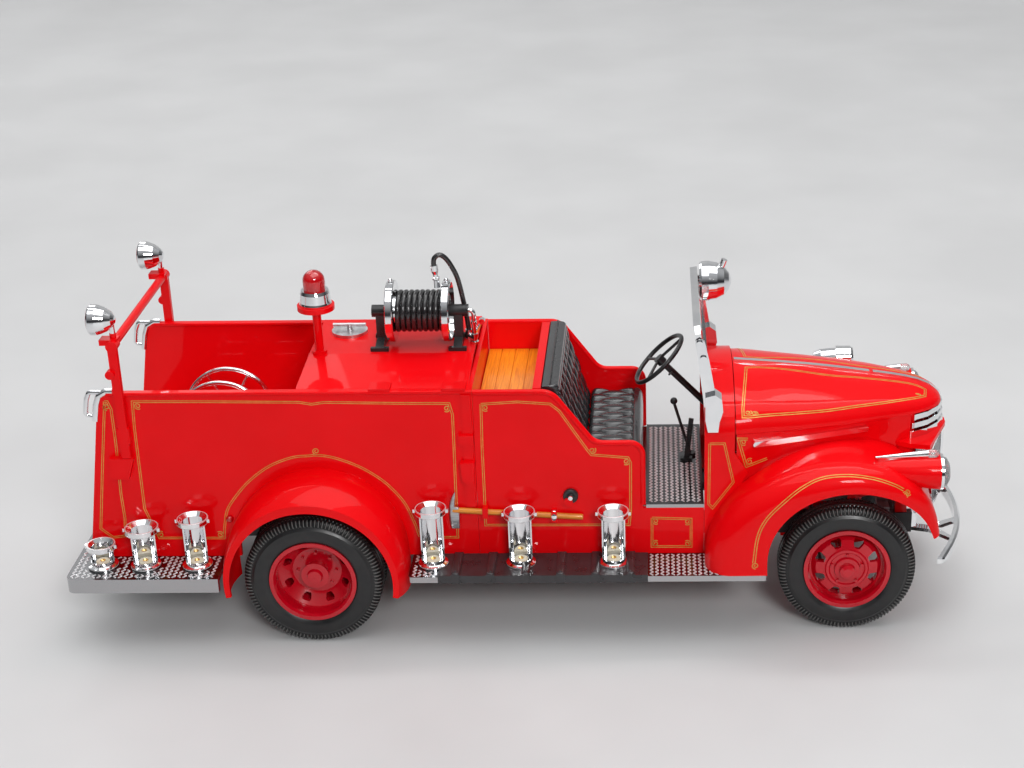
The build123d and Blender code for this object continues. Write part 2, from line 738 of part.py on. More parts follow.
def shell_section(cx, cz, angle, crown, lip, y_in, y_out, arc, t):
    """Thin L-shaped section: lip, side, rounded shoulder and crown."""
    a = math.radians(angle)
    rho = min(arc, (crown - lip) * 0.92)
    k = 1 - math.sqrt(0.5)
    outer_b = (crown - rho, y_out)
    outer_m = (crown - rho * k, y_out - rho * k)
    outer_c = (crown, y_out - rho)
    inner_b = (crown - rho, y_out - t)
    inner_m = (crown - t - (rho - t) * k, y_out - t - (rho - t) * k)
    inner_c = (crown - t, y_out - rho)
    lines = [Line((lip, y_out), outer_b),
             ThreePointArc(outer_b, outer_m, outer_c),
             Line(outer_c, (crown, y_in)),
             Line((crown, y_in), (crown - t, y_in)),
             Line((crown - t, y_in), inner_c),
             ThreePointArc(inner_c, inner_m, inner_b),
             Line(inner_b, (lip, y_out - t)),
             Line((lip, y_out - t), (lip, y_out))]
    plane = Plane(origin=(cx, 0, cz), x_dir=(math.cos(a), 0, math.sin(a)),
                  z_dir=(-math.sin(a), 0, math.cos(a)))
    return plane * make_face(lines)


def front_fender():
    """Left front fender with its headlamp nacelle."""
    faces = []
    for angle, crown, lip, y_in, y_out in FENDER_ROWS:
        faces.append(shell_section(DRAWN_BASE, AXLE_Z, angle, crown, lip,
                                   y_in, y_out, FENDER_ARC, SKIN_T))
    shell = loft(faces)
    plane_a = Plane(origin=(LAMP_X, LAMP_Y, LAMP_Z), z_dir=(1, 0, 0))
    plane_b = Plane(origin=(186.0, LAMP_Y, LAMP_Z + 0.5), z_dir=(1, 0, 0))
    plane_c = Plane(origin=(174.0, LAMP_Y - 0.5, LAMP_Z + 1.4),
                    z_dir=(1, 0, 0))
    nacelle = loft([plane_c * Circle(1.6), plane_b * Circle(LAMP_R - 1.1),
                    plane_a * Circle(LAMP_R)])
    whole = shell + nacelle
    behind = block(100, 150, 0, 60, -5, BOARD_TOP)
    beside = block(100, 138.0, 0, WALL_Y, 0, 90)
    return whole - behind - beside - nose_clear()


def nose_clear():
    """Space of the nose walls and blade, kept free of the fenders."""
    left = nose_side(-SEAT_GAP)
    points = [(120, left[0][1])] + left + [(191.6, 18.4)]
    points += [(GRILLE_X - 0.2, GRILLE_HALF + 0.2), (GRILLE_PROW + 1, 2)]
    points += [(x, -y) for x, y in reversed(points)]
    upper = top_plate(points, BLADE_Z - SEAT_GAP, HOOD_EDGE_Z + 5)
    walls = [(x, y) for x, y in left]
    walls += [(x, -y) for x, y in reversed(left)]
    return upper + top_plate(walls, NOSE_LOW_Z - 0.2, BLADE_Z + 1)


# Rear fenders
REAR_ANGLES = (-9, 20, 48, 76, 104, 132, 160, 188)


def seam_radius(angle):
    """Distance from the hub to the seam on the wall, along an angle."""
    a = math.radians(angle)
    dx = math.cos(a)
    dz = math.sin(a)
    ox = -ARCH_X
    oz = AXLE_Z - ARCH_Z
    b = ox * dx + oz * dz
    c = ox * ox + oz * oz - ARCH_R * ARCH_R
    r = -b + math.sqrt(b * b - c)
    if AXLE_Z + r * dz < ARCH_Z:
        r = (ARCH_X + math.copysign(ARCH_R, dx)) / dx
    return r


def rear_fender_section(angle):
    a = math.radians(angle)
    t = SKIN_T
    seam = seam_radius(angle)
    lip_out = 27.6 + 0.9 * math.sin(a)
    lip_in = 25.8
    y0 = WALL_Y
    y1 = SIDE_Y - 0.2
    mid_r = max(seam, lip_out) * 0.55 + min(seam, lip_out) * 0.45
    mid_r = (seam + lip_out) / 2 + 1.2
    mid_y = y0 + (y1 - y0) * 0.62
    top = ThreePointArc((seam, y0), (mid_r, mid_y), (lip_out, y1))
    under = ThreePointArc((lip_out - t, y1 - t), (mid_r - t, mid_y - 0.3),
                          (seam - t, y0))
    lines = [top, Line((lip_out, y1), (lip_in, y1)),
             Line((lip_in, y1), (lip_in, y1 - t)),
             Line((lip_in, y1 - t), (lip_out - t, y1 - t)),
             under, Line((seam - t, y0), (seam, y0))]
    plane = Plane(origin=(0, 0, AXLE_Z), x_dir=(math.cos(a), 0, math.sin(a)),
                  z_dir=(-math.sin(a), 0, math.cos(a)))
    return plane * make_face(lines)


def rear_fenders():
    faces = [rear_fender_section(angle) for angle in REAR_ANGLES]
    return both(loft(faces))


# Body

def wall_corner():
    """Rear edge of a wall and its rounded top corner."""
    return [(TAIL_LOW_X, BOARD_TOP), (TAIL_TOP_X, TAIL_TOP_Z),
            (TAIL_TOP_X + 0.4, RIM_TOP - 2.6),
            (TAIL_TOP_X + 1.6, RIM_TOP - 1.0), (TAIL_TOP_X + 3.4, RIM_TOP)]


def hose_body():
    """Side walls, rolled rims, bed floor, bulkheads and sills."""
    ahead = BODY_FRONT + LONGER
    outline = wall_corner() + [(ahead, RIM_TOP), (ahead, BOARD_TOP)]
    wall = side_plate(outline, WALL_IN, WALL_Y)
    hole_r = ARCH_R - SKIN_T - ARCH_LAP
    arch = rod((ARCH_X, 0, ARCH_Z), (ARCH_X, 60, ARCH_Z), hole_r)
    arch = arch + block(ARCH_X - hole_r, ARCH_X + hole_r, 0, 60,
                        BOARD_TOP - 5, ARCH_Z)
    wall = wall - arch
    rim = block(TAIL_TOP_X + 3.4, ahead, WALL_IN - RIM_IN,
                WALL_Y + RIM_OUT, RIM_TOP - RIM_H, RIM_TOP)
    rim = fillet(rim.edges().filter_by(Axis.X), 0.45)
    seam = TAIL_TOP_X - (TAIL_TOP_Z - BED_Z) * (
        (TAIL_TOP_X - TAIL_LOW_X) / (TAIL_TOP_Z - BOARD_TOP))
    floor = block(seam + 1.5, ahead, -WALL_IN, WALL_IN,
                  BED_Z - BED_T, BED_Z)
    slant = (TAIL_TOP_X - TAIL_LOW_X) / (TAIL_TOP_Z - BOARD_TOP)
    rise = BED_Z - BOARD_TOP
    tail = side_plate([(TAIL_LOW_X, BOARD_TOP),
                       (TAIL_LOW_X + rise * slant, BED_Z),
                       (TAIL_LOW_X + rise * slant + 1.6, BED_Z),
                       (TAIL_LOW_X + 1.6, BOARD_TOP)], -WALL_IN, WALL_IN)
    front = block(ahead - WALL_T, ahead, -WALL_IN, WALL_IN,
                  BED_Z - BED_T, RIM_TOP)
    pieces = both(wall) + both(rim) + [floor, tail, front]
    for x in (-60.0, -32.0, 32.0, ahead - 4.0):
        pieces.append(block(x - 1, x + 1, -20, 20, RAIL_TOP, BED_Z - BED_T))
    return fuse(pieces)


def tank_deck():
    """Slanted front of the bed and the raised deck over the tank."""
    ahead = BODY_FRONT + LONGER - WALL_T

    def prism(t):
        # t is the depth below the outer faces
        side = [(SLOPE_REAR + t * 1.1, BED_Z - t), (DECK_REAR + t, 90),
                (ahead + t, 90), (ahead + t, BED_Z - t)]
        cross = [(-WALL_IN - t, BED_Z - t), (-WALL_IN - t, DECK_SIDE_Z - t),
                 (DECK_NEAR_Y, DECK_TOP_Z - t), (DECK_FAR_Y, DECK_TOP_Z - t),
                 (WALL_IN + t, DECK_SIDE_Z - t), (WALL_IN + t, BED_Z - t)]
        form = side_plate(side, -40, 40)
        return form & cross_plate(cross, -40, ahead + 30)
    deck = prism(0) - prism(SKIN_T)
    room = block(-40, ahead + 30, WALL_IN - RIM_IN, 40, RIM_TOP - RIM_H,
                 RIM_TOP + 5)
    deck = deck - room - across(room)
    post = rod((1.0, -5.0, DECK_TOP_Z - 0.6), (1.0, -5.0, 100.2), 1.4)
    foot = rod((1.0, -5.0, DECK_TOP_Z - 0.6), (1.0, -5.0, DECK_TOP_Z + 1), 2.4)
    plate = rod((1.0, -5.0, 100.0), (1.0, -5.0, 101.6), 5.9)
    tabs = []
    for x0, x1 in DECK_TABS:
        tabs += both(block(x0, x1, DECK_FAR_Y + 1, WALL_Y + RIM_OUT,
                           RIM_TOP, RIM_TOP + TAB_T))
    return fuse([deck, foot, post, plate] + tabs)


def tank_hatch():
    hatch = rod((8.0, 12.6, DECK_TOP_Z), (8.0, 12.6, DECK_TOP_Z + 1.0), 5.85)
    stem = rod((8.0, 12.6, DECK_TOP_Z + 0.6), (8.0, 12.6, DECK_TOP_Z + 3), 0.9)
    bar = rod((2.6, 12.6, DECK_TOP_Z + 2.6), (13.4, 12.6, DECK_TOP_Z + 2.6),
              0.65)
    return fuse([hatch, stem, bar])


def beacon_drum():
    return turned_z([(0, 101.6), (4.9, 101.6), (5.1, 102.2), (4.9, 102.8),
                     (4.7, 105.6), (4.3, 106.6), (0, 106.6)], 1.0, -5.0)


def beacon_dome():
    return turned_z([(0, 106.6), (3.5, 106.6), (3.55, 109.6), (3.2, 111.4),
                     (2.1, 112.6), (0, 113.1)], 1.0, -5.0)


def cab_edge(drop, end_z):
    """Top edge of a cab side in (x, z), drawn in by drop, to its front."""
    start = BODY_FRONT + SEAT_GAP
    front = CAB_FRONT - drop
    return [(start, RIM_TOP - drop), (CAB_TOP_END, RIM_TOP - drop),
            (NOTCH_X - drop * 0.5, NOTCH_Z - drop), (front, NOTCH_Z - drop),
            (front, end_z)]


def cab_panel():
    """Side panel with its rounded slope, notch and front corner."""
    low = FLOOR_Z - FLOOR_T
    outline = [(BODY_FRONT + SEAT_GAP, BOARD_TOP)] + cab_edge(BEAD_DROP, low)
    outline += [(COWL_REAR - SEAT_GAP, low), (COWL_REAR - SEAT_GAP, BOARD_TOP)]
    face = make_face(Polyline(*outline, close=True))
    for index, radius in ((2, CAB_TOP_R), (3, CAB_NOTCH_R), (4, CAB_CORNER_R)):
        at = outline[index]
        corner = face.vertices().sort_by_distance((at[0], at[1], 0))[0]
        face = fillet(corner, radius)
    plane = Plane(origin=(0, WALL_Y, 0), x_dir=(1, 0, 0), z_dir=(0, -1, 0))
    return extrude(plane * face, WALL_T)


def cab_sides():
    y = WALL_Y - WALL_T / 2 + 0.2
    edge = [(x, y, z) for x, z in cab_edge(BEAD_DROP, FLOOR_Z + SEAT_GAP)]
    path = FilletPolyline(*edge, radius=[CAB_TOP_R, CAB_NOTCH_R, CAB_CORNER_R])
    plane = Plane(origin=path @ 0, z_dir=path % 0)
    bead = sweep(plane * Circle(BEAD_ROLL), path=path)
    left = cab_panel() + bead
    right = across(left)
    cap = rod((81.0, -WALL_Y + 0.4, 44.5), (81.0, -WALL_Y - 1.0, 44.5), 2.4)
    knob = rod((81.0, -WALL_Y - 0.8, 44.5), (81.0, -WALL_Y - 2.4, 44.5), 1.4)
    return [left, fuse([right, cap, knob])]


def seat_panel():
    """Red panel behind the seat, bench under it and locker shelf."""
    inner = WALL_IN - SEAT_GAP
    back = block(BENCH_BACK_X - 1.4, BENCH_BACK_X, -inner, inner,
                 FLOOR_Z, RIM_TOP - 0.4)
    cap = block(BENCH_BACK_X - 1.4, BENCH_BACK_X + 1.2, -inner + RIM_IN,
                inner - RIM_IN, RIM_TOP - 1.6, RIM_TOP - 0.4)
    notch = block(50, 80, inner - RIM_IN, 40, RIM_TOP - RIM_H - 0.1, 90)
    back = back - notch - across(notch)
    bench = block(BENCH_BACK_X, CAB_FRONT - 2.0, -inner, inner,
                  BENCH_Z - 1.2, BENCH_Z)
    front = block(CAB_FRONT - 3.4, CAB_FRONT - 2.0, -inner, inner,
                  FLOOR_Z, BENCH_Z)
    shelf = block(BODY_FRONT + SEAT_GAP, BENCH_BACK_X, -inner, inner,
                  WOOD_Z - WOOD_T - 1.2, WOOD_Z - WOOD_T)
    return fuse([back, cap, bench, front, shelf])


def wood_floor():
    inner = WALL_IN - 0.3
    x0 = BODY_FRONT + 0.3
    x1 = BENCH_BACK_X - 1.4 - 0.2
    wide = (x1 - x0 - PLANK_GAP * (PLANKS - 1)) / PLANKS
    base = block(x0, x1, -inner, inner, WOOD_Z - WOOD_T, WOOD_Z - 0.5)
    pieces = [base]
    for i in range(PLANKS):
        a = x0 + i * (wide + PLANK_GAP)
        pieces.append(block(a, a + wide, -inner, inner, WOOD_Z - 0.6, WOOD_Z))
    return fuse(pieces)


def cab_floor():
    """Tread plate floor with two sills down to the frame."""
    shaft = Pos(-LONGER, 0, 0)
    inner = WALL_IN - SEAT_GAP
    z0 = FLOOR_Z - FLOOR_T
    plate = block(BENCH_BACK_X - 6, CAB_FRONT + SEAT_GAP, -inner, inner,
                  z0, FLOOR_Z)
    step = block(CAB_FRONT + SEAT_GAP, COWL_REAR - SEAT_GAP, -WALL_Y, WALL_Y,
                 z0, FLOOR_Z)
    pieces = [plate, step]
    for x in (70.0, 112.0):
        pieces.append(block(x - 1, x + 1, -22, 22, RAIL_TOP, z0))
    a, b = prop_line()
    return fuse(pieces) - shaft * rod(a, b, PROP_R + PROP_CLEAR)


def seat_cushion():
    form = block(86.4, CAB_FRONT - 1.0, -WALL_IN + 0.6, WALL_IN - 0.6,
                 BENCH_Z + CUSHION_GAP, CUSHION_TOP)
    front = form.edges().filter_by(Axis.Y).sort_by(Axis.Z)[-2:]
    return fillet(front, 1.6)


def seat_back():
    low = BENCH_Z + CUSHION_GAP
    points = [(80.6, low), (85.6, low), (86.0, CUSHION_TOP + 0.4),
              (78.8, BACK_TOP - 1.4), (77.0, BACK_TOP),
              (75.0, BACK_TOP), (73.8, BACK_TOP - 1.4)]
    half = WALL_IN - RIM_IN - 0.4
    return side_plate(points, -half, half)


# Boards and what stands on them

def running_boards():
    rear = ARCH_X + ARCH_R + 1.3
    front = 143.4 + LONGER
    plate = block(rear, front, WALL_IN, SIDE_Y - 0.4, BOARD_TOP - BOARD_T,
                  BOARD_TOP)
    corner = plate.edges().filter_by(Axis.Z).sort_by(Axis.Y)[-2:]
    plate = fillet(corner, 1.2)
    pieces = [plate]
    for x in (44.0, 80.0, 118.0 + LONGER):
        pieces.append(block(x - 2, x + 2, RAIL_Y, WALL_IN + 1,
                            BOARD_TOP - BOARD_T, BOARD_TOP))
    return both(fuse(pieces))


MAT_REAR = 40.0
MAT_FRONT = 106.0
MAT_Y = 31.0
MAT_T = 0.6
STRAPS = 6
STRAP_HALF = 1.4
STRAP_T = 0.5


def board_mats():
    """Rubber mat that wraps the board's edge, with cross straps."""
    out = SIDE_Y - 0.4
    low = BOARD_TOP - BOARD_T
    top = BOARD_TOP + MAT_T
    pieces = [block(MAT_REAR, MAT_FRONT, MAT_Y, out, BOARD_TOP, top),
              block(MAT_REAR, MAT_FRONT, out, SIDE_Y - 0.1, low, top)]
    pitch = (MAT_FRONT - MAT_REAR) / STRAPS
    for i in range(STRAPS):
        x = MAT_REAR + pitch * (i + 0.5)
        pieces.append(block(x - STRAP_HALF, x + STRAP_HALF, MAT_Y, SIDE_Y + 0.2,
                            BOARD_TOP, top + STRAP_T))
        pieces.append(block(x - STRAP_HALF, x + STRAP_HALF, out, SIDE_Y + 0.2,
                            low, top + STRAP_T))
    mat = fuse(pieces)
    for x, top_z, r, ring in CUP_ROWS[:3]:
        mat = mat - rod((x, CUP_Y, BOARD_TOP - 1), (x, CUP_Y, BOARD_TOP + 3),
                        CUP_FOOT + 0.2)
    return both(mat)


def tailboard():
    front = ARCH_X - ARCH_R - 2.8
    plate = block(TAIL_X, front, -SIDE_Y, SIDE_Y,
                  BOARD_TOP - TAILBOARD_T, BOARD_TOP)
    rear = plate.edges().filter_by(Axis.Z).sort_by(Axis.X)[:2]
    plate = fillet(rear, 3.0)
    under = block(TAIL_X + 2, front + 1, -SIDE_Y + 2, SIDE_Y - 2,
                  BOARD_TOP - TAILBOARD_T - 1, BOARD_TOP - 1.6)
    return plate - under


# Cups: x, height of the mouth, outer radius of the tube and of the ring
CUP_ROWS = [(37.8, 45.0, 3.7, 5.0), (65.7, 43.6, 3.7, 5.0),
            (95.2, 43.6, 3.7, 5.0), (-67.6, 33.0, 3.7, 4.5),
            (-54.0, 38.9, 3.9, 5.3), (-37.5, 42.0, 3.6, 4.9)]
CUP_WALL = 0.5
CUP_Y = 36.6
CUP_FLOOR = 1.2
CUP_FOOT = 4.7          # radius of the foot
CUP_DISH = 2.2          # height of the closed dish at the foot
CUP_RING = 1.9          # height of the closed ring at the mouth
CUP_FUNNEL = 1.0        # depth of the funnel inside the ring


def cup(x, top, r, ring):
    inner = r - CUP_WALL
    points = [(0, BOARD_TOP), (CUP_FOOT, BOARD_TOP),
              (CUP_FOOT, BOARD_TOP + 0.8), (r, BOARD_TOP + 1.2),
              (r, top - CUP_RING), (ring, top - 1.6), (ring, top),
              (ring - CUP_WALL, top), (inner, top - CUP_FUNNEL),
              (inner, BOARD_TOP + CUP_FLOOR), (0, BOARD_TOP + CUP_FLOOR)]
    open_side = block(x - 6, x + 6, CUP_Y, CUP_Y + 6,
                      BOARD_TOP + CUP_DISH, top - CUP_RING)
    return turned_z(points, x, CUP_Y) - open_side


def cups():
    found = []
    for x, top, r, ring in CUP_ROWS:
        found += both(cup(x, top, r, ring))
    return found


# Fittings on the body walls

def wall_hardware():
    """Ladder brackets, hooks and axe clips on the walls."""
    y0 = WALL_Y
    right = []
    front = block(48.6, 51.6, y0, y0 + 1.0, 42.6, RIM_TOP - RIM_H)
    front = front + block(47.2, 52.0, y0, y0 + 2.0, 64.6, 67.8)
    hook = side_plate([(47.4, 58.6), (52.0, 58.6), (51.4, 52.2), (49.7, 51.0),
                       (48.0, 52.2)], y0, y0 + 2.6)
    front = front + hook
    rear = side_plate([(-62.6, 60.8), (-54.8, 60.8), (-57.1, 53.6),
                       (-63.2, 53.6)], y0, y0 + 2.4)
    return both(front) + both(rear) + axe_clips()


LIGHT_BAR_X = -57.0
LIGHT_BAR_Z = 98.6
LAMP_LUG = 3.4          # top of the lamp lug above the bar
LAMP_STEM = 4.4


def light_bar():
    """Red posts on the rear walls with a cross bar for the lamps."""
    y0 = WALL_Y
    z = LIGHT_BAR_Z
    x = LIGHT_BAR_X
    post = block(x - 1.4, x + 1.4, y0 + RIM_OUT, y0 + RIM_OUT + 1.8, 61.0, z)
    pad = block(x - 1.9, x + 1.9, y0, y0 + RIM_OUT + 1.8, 66.0, 71.0)
    boss = rod((x, y0 - 1.2, z), (x, y0 + RIM_OUT + 2.0, z), 1.8)
    shelf = block(x - 4.0, x + 1.4, 27.6, 31.6, z, z + 1.8)
    lug = rod((x, 29.6, z + 1.6), (x, 29.6, z + LAMP_LUG), 1.0)
    hook = rod((x - 1.4, y0 + 0.9, 89.6), (x - 1.4, y0 + 3.4, 89.6), 1.4)
    bar = rod((x, -y0, z), (x, y0, z), 1.35)
    pieces = [bar]
    for piece in (post, pad, boss, shelf, lug, hook):
        pieces += both(piece)
    return fuse(pieces)


def rear_lamps():
    """Bullet lamps on the bar, lenses to the rear."""
    low = LIGHT_BAR_Z + LAMP_LUG
    z = low + LAMP_STEM
    form = turned_x([(-63.4, 0), (-63.4, 4.4), (-62.9, 4.8), (-61.0, 4.7),
                     (-58.4, 3.7), (-56.6, 2.3), (-55.8, 1.1), (-55.6, 0)],
                    29.6, z)
    stem = rod((LIGHT_BAR_X, 29.6, low), (LIGHT_BAR_X, 29.6, z), 0.8)
    return both(form + stem)


def grab_handles():
    """Bright loops at the rear top corners of the walls."""
    y = WALL_Y - WALL_T / 2
    band = [(-59.4, 82.6), (-61.6, 82.6), (-63.9, 81.2), (-65.0, 78.2),
            (-66.0, 72.8)]
    hoop = [(-62.6, 82.3), (-66.9, 82.4), (-68.0, 79.8), (-68.9, 74.8),
            (-65.8, 74.0)]
    pieces = []
    for points, r in ((band, 1.1), (hoop, 0.75)):
        path = FilletPolyline(*[(x, y, z) for x, z in points], radius=1.1)
        plane = Plane(origin=path @ 0, z_dir=path % 0)
        pieces.append(sweep(plane * Circle(r), path=path))
    outline = wall_corner() + [(0, RIM_TOP), (0, BOARD_TOP)]
    wall = side_plate(outline, WALL_IN, WALL_Y)
    rim = block(TAIL_TOP_X + 3.4, 0, WALL_IN - RIM_IN, WALL_Y + RIM_OUT,
                RIM_TOP - RIM_H, RIM_TOP)
    return both(fuse(pieces) - wall - rim)


AXE_OUT = 1.3           # middle of the handle from the wall
HANDLE_R = 0.95


def axe():
    """Fire axe on the right wall with its two clips."""
    y = -WALL_Y - AXE_OUT
    handle = rod((45.0, y, 41.6), (85.5, y, 38.9), HANDLE_R)
    head = side_plate([(42.0, 48.6), (45.6, 47.6), (46.4, 41.6),
                       (46.4, 38.6), (47.0, 35.2), (43.4, 35.6),
                       (43.0, 38.6), (42.6, 41.6)], y - 0.7, y + 0.7)
    return [handle + head]


def axe_clips():
    pieces = []
    for x, z in ((54.6, 41.0), (76.4, 39.5)):
        y = -WALL_Y
        body = block(x - 0.9, x + 0.9, y - 2.6, y, z - 1.9, z + 1.7)
        slot = rod((x - 3, y - AXE_OUT, z + 0.2), (x + 3, y - AXE_OUT, z - 0.2),
                   HANDLE_R + 0.15)
        pieces.append(body - slot)
    return pieces


# Hose reel on the deck

def reel_stands():
    """Two black stands with a bearing boss at each top."""
    pieces = []
    for x, out, near in ((20.2, 17.6, REEL_LEFT + FLANGE_WEB),
                         (45.3, 48.7, REEL_RIGHT - FLANGE_WEB)):
        leg = cross_plate([(REEL_Y - 6.8, DECK_TOP_Z),
                           (REEL_Y - 6.8, DECK_TOP_Z + 1.2),
                           (REEL_Y - 1.8, DECK_TOP_Z + 3),
                           (REEL_Y - 1.7, REEL_Z), (REEL_Y + 1.7, REEL_Z),
                           (REEL_Y + 1.8, DECK_TOP_Z + 3),
                           (REEL_Y + 6.8, DECK_TOP_Z + 1.2),
                           (REEL_Y + 6.8, DECK_TOP_Z)], x - 1.35, x + 1.35)
        boss = rod((min(out, near), REEL_Y, REEL_Z),
                   (max(out, near), REEL_Y, REEL_Z), 2.0)
        leg = leg + boss
        for y in (REEL_Y - 6.8, REEL_Y + 5.2):
            leg = leg + block(x - 2.9, x + 2.9, y, y + 1.6,
                              DECK_TOP_Z, DECK_TOP_Z + 1.2)
        pieces.append(leg)
    return pieces


def reel_flanges():
    """Bright dished flanges with a broad rim, and the drum."""
    top = FLANGE_OUT
    half = FLANGE_WIDE / 2
    pieces = []
    for x, s in ((REEL_LEFT, 1), (REEL_RIGHT, -1)):
        pieces.append(turned_x([(x + s * FLANGE_WEB, 0),
                                (x + s * FLANGE_WEB, top - 1.2),
                                (x - s * half, top - 0.9),
                                (x - s * half, top - 0.3),
                                (x - s * (half - 0.3), top),
                                (x + s * (half - 0.3), top),
                                (x + s * half, top - 0.3), (x + s * half, 0)],
                               REEL_Y, REEL_Z))
        pieces.append(Pos(x, REEL_Y, REEL_Z + top + 0.4) * Sphere(0.75))
    drum = rod((REEL_LEFT + half, REEL_Y, REEL_Z),
               (REEL_RIGHT - half, REEL_Y, REEL_Z), DRUM_R)
    return fuse(pieces + [drum])


def reel_hose():
    """Wound hose, one ridge for each turn."""
    a = REEL_LEFT + FLANGE_WIDE / 2
    b = REEL_RIGHT - FLANGE_WIDE / 2
    pitch = (b - a) / HOSE_TURNS
    points = [(a, DRUM_R)]
    for i in range(HOSE_TURNS):
        x = a + i * pitch
        for share, rise in ((0.0, 0.7), (0.25, 1.45), (0.5, 1.64),
                            (0.75, 1.45)):
            points.append((x + share * pitch, DRUM_R + rise))
    points.append((b, DRUM_R + 0.7))
    points.append((b, DRUM_R))
    return turned_x(points, REEL_Y, REEL_Z)


def reel_pipe():
    """Feed pipe with elbow, valve lever and the hose coupling."""
    z = REEL_Z
    x = 50.3
    deck = DECK_TOP_Z
    path = FilletPolyline((48.7, REEL_Y, z), (x, REEL_Y, z),
                          (x, REEL_Y, deck), radius=1.5)
    plane = Plane(origin=path @ 0, z_dir=path % 0)
    pipe = sweep(plane * Circle(0.75), path=path)
    foot_x, foot_y, foot_z = HOSE_ROUTE[0]
    pieces = [pipe]
    for low, high, r in ((z - 4.6, z - 3.7, 1.05), (z - 9.0, z - 8.1, 1.1),
                         (deck, deck + 0.8, 1.3)):
        pieces.append(rod((x, REEL_Y, low), (x, REEL_Y, high), r))
    pieces.append(rod((x, REEL_Y, deck + 1.6), (foot_x, foot_y, deck + 1.6),
                      0.8))
    pieces.append(rod((foot_x, foot_y, deck), HOSE_ROUTE[0], 1.15))
    pieces.append(rod((x, REEL_Y, z - 8.5), (x + 2.6, REEL_Y, z - 3.8), 0.45))
    pieces.append(rod((x + 2.6, REEL_Y - 0.9, z - 3.8),
                      (x + 2.6, REEL_Y + 0.9, z - 3.8), 1.0))
    return fuse(pieces)


# Route of the free hose end: from the coupling up, over and down
HOSE_ROUTE = [(48.1, 5.6, 88.5), (47.7, 5.6, 93.0), (46.9, 5.5, 98.0),
              (46.2, 5.1, 102.6), (45.3, 4.6, 107.2), (43.6, 4.0, 111.2),
              (42.0, 3.6, 113.9), (40.2, 3.2, 115.2), (38.5, 2.8, 114.2),
              (38.2, 2.7, 112.5), (38.3, 2.65, 111.6)]


def hose_tail():
    corners = []
    for i in range(1, len(HOSE_ROUTE) - 1):
        a = Vector(*HOSE_ROUTE[i - 1])
        b = Vector(*HOSE_ROUTE[i])
        c = Vector(*HOSE_ROUTE[i + 1])
        turn = math.radians((b - a).get_angle(c - b))
        run = min((b - a).length, (c - b).length)
        corners.append(0.45 * run / math.tan(turn / 2))
    print("hose radii", [round(r, 1) for r in corners])
    path = FilletPolyline(*HOSE_ROUTE, radius=corners)
    plane = Plane(origin=path @ 0, z_dir=path % 0)
    tube = sweep(plane * Circle(HOSE_D / 2), path=path)
    print("hose length", round(path.length, 2), "volume ratio",
          round(tube.volume / (math.pi * HOSE_D ** 2 / 4 * path.length), 3))
    return tube


def nozzle():
    end = Vector(*HOSE_ROUTE[-1])
    line = (end - Vector(*HOSE_ROUTE[-2])).normalized()
    plane = Plane(origin=end, z_dir=line)
    form = turned_z([(0, 0), (1.25, 0), (1.25, 1.8), (0.8, 3.0), (0.8, 3.7),
                     (1.25, 4.0), (1.25, 4.6), (0.9, 4.9), (1.05, 7.3),
                     (0, 7.3)], 0, 0)
    return plane.location * form


def bed_reel():
    """Twin-ring reel on its own axle."""
    x = BED_REEL_X
    z = BED_REEL_Z
    half = RING_Y + 0.6
    whole = rod((x, -half, z), (x, half, z), BED_DRUM_R)
    for s in (-1, 1):
        y = s * RING_Y
        for i in range(BED_SPOKES):
            a = math.radians(i * 360 / BED_SPOKES)
            root = (x + 4.0 * math.cos(a), y, z + 4.0 * math.sin(a))
            tip = (x + RING_R * math.cos(a), y, z + RING_R * math.sin(a))
            whole = whole + rod(root, tip, 0.42)
        whole = whole + Pos(x, y, z) * Rot(90, 0, 0) * Torus(RING_R, RING_ROD)
    return whole + rod((x, -9.8, z), (x, 9.8, z), BED_AXLE_R)


def bed_reel_stand():
    """Two uprights that carry the axle of the bed reel."""
    x = BED_REEL_X
    z = BED_REEL_Z
    post = side_plate([(x - 6, BED_Z), (x + 6, BED_Z), (x + 2.2, z),
                       (x - 2.2, z)], 7.8, 9.2)
    head = rod((x, 7.8, z), (x, 9.2, z), 2.2)
    bore = rod((x, 0, z), (x, 20, z), BED_AXLE_R + RUN_CLEAR)
    foot = block(x - 6, x + 6, 7.8, 11.0, BED_Z, BED_Z + 0.9)
    return both(post + head + foot - bore)


# Front end fittings

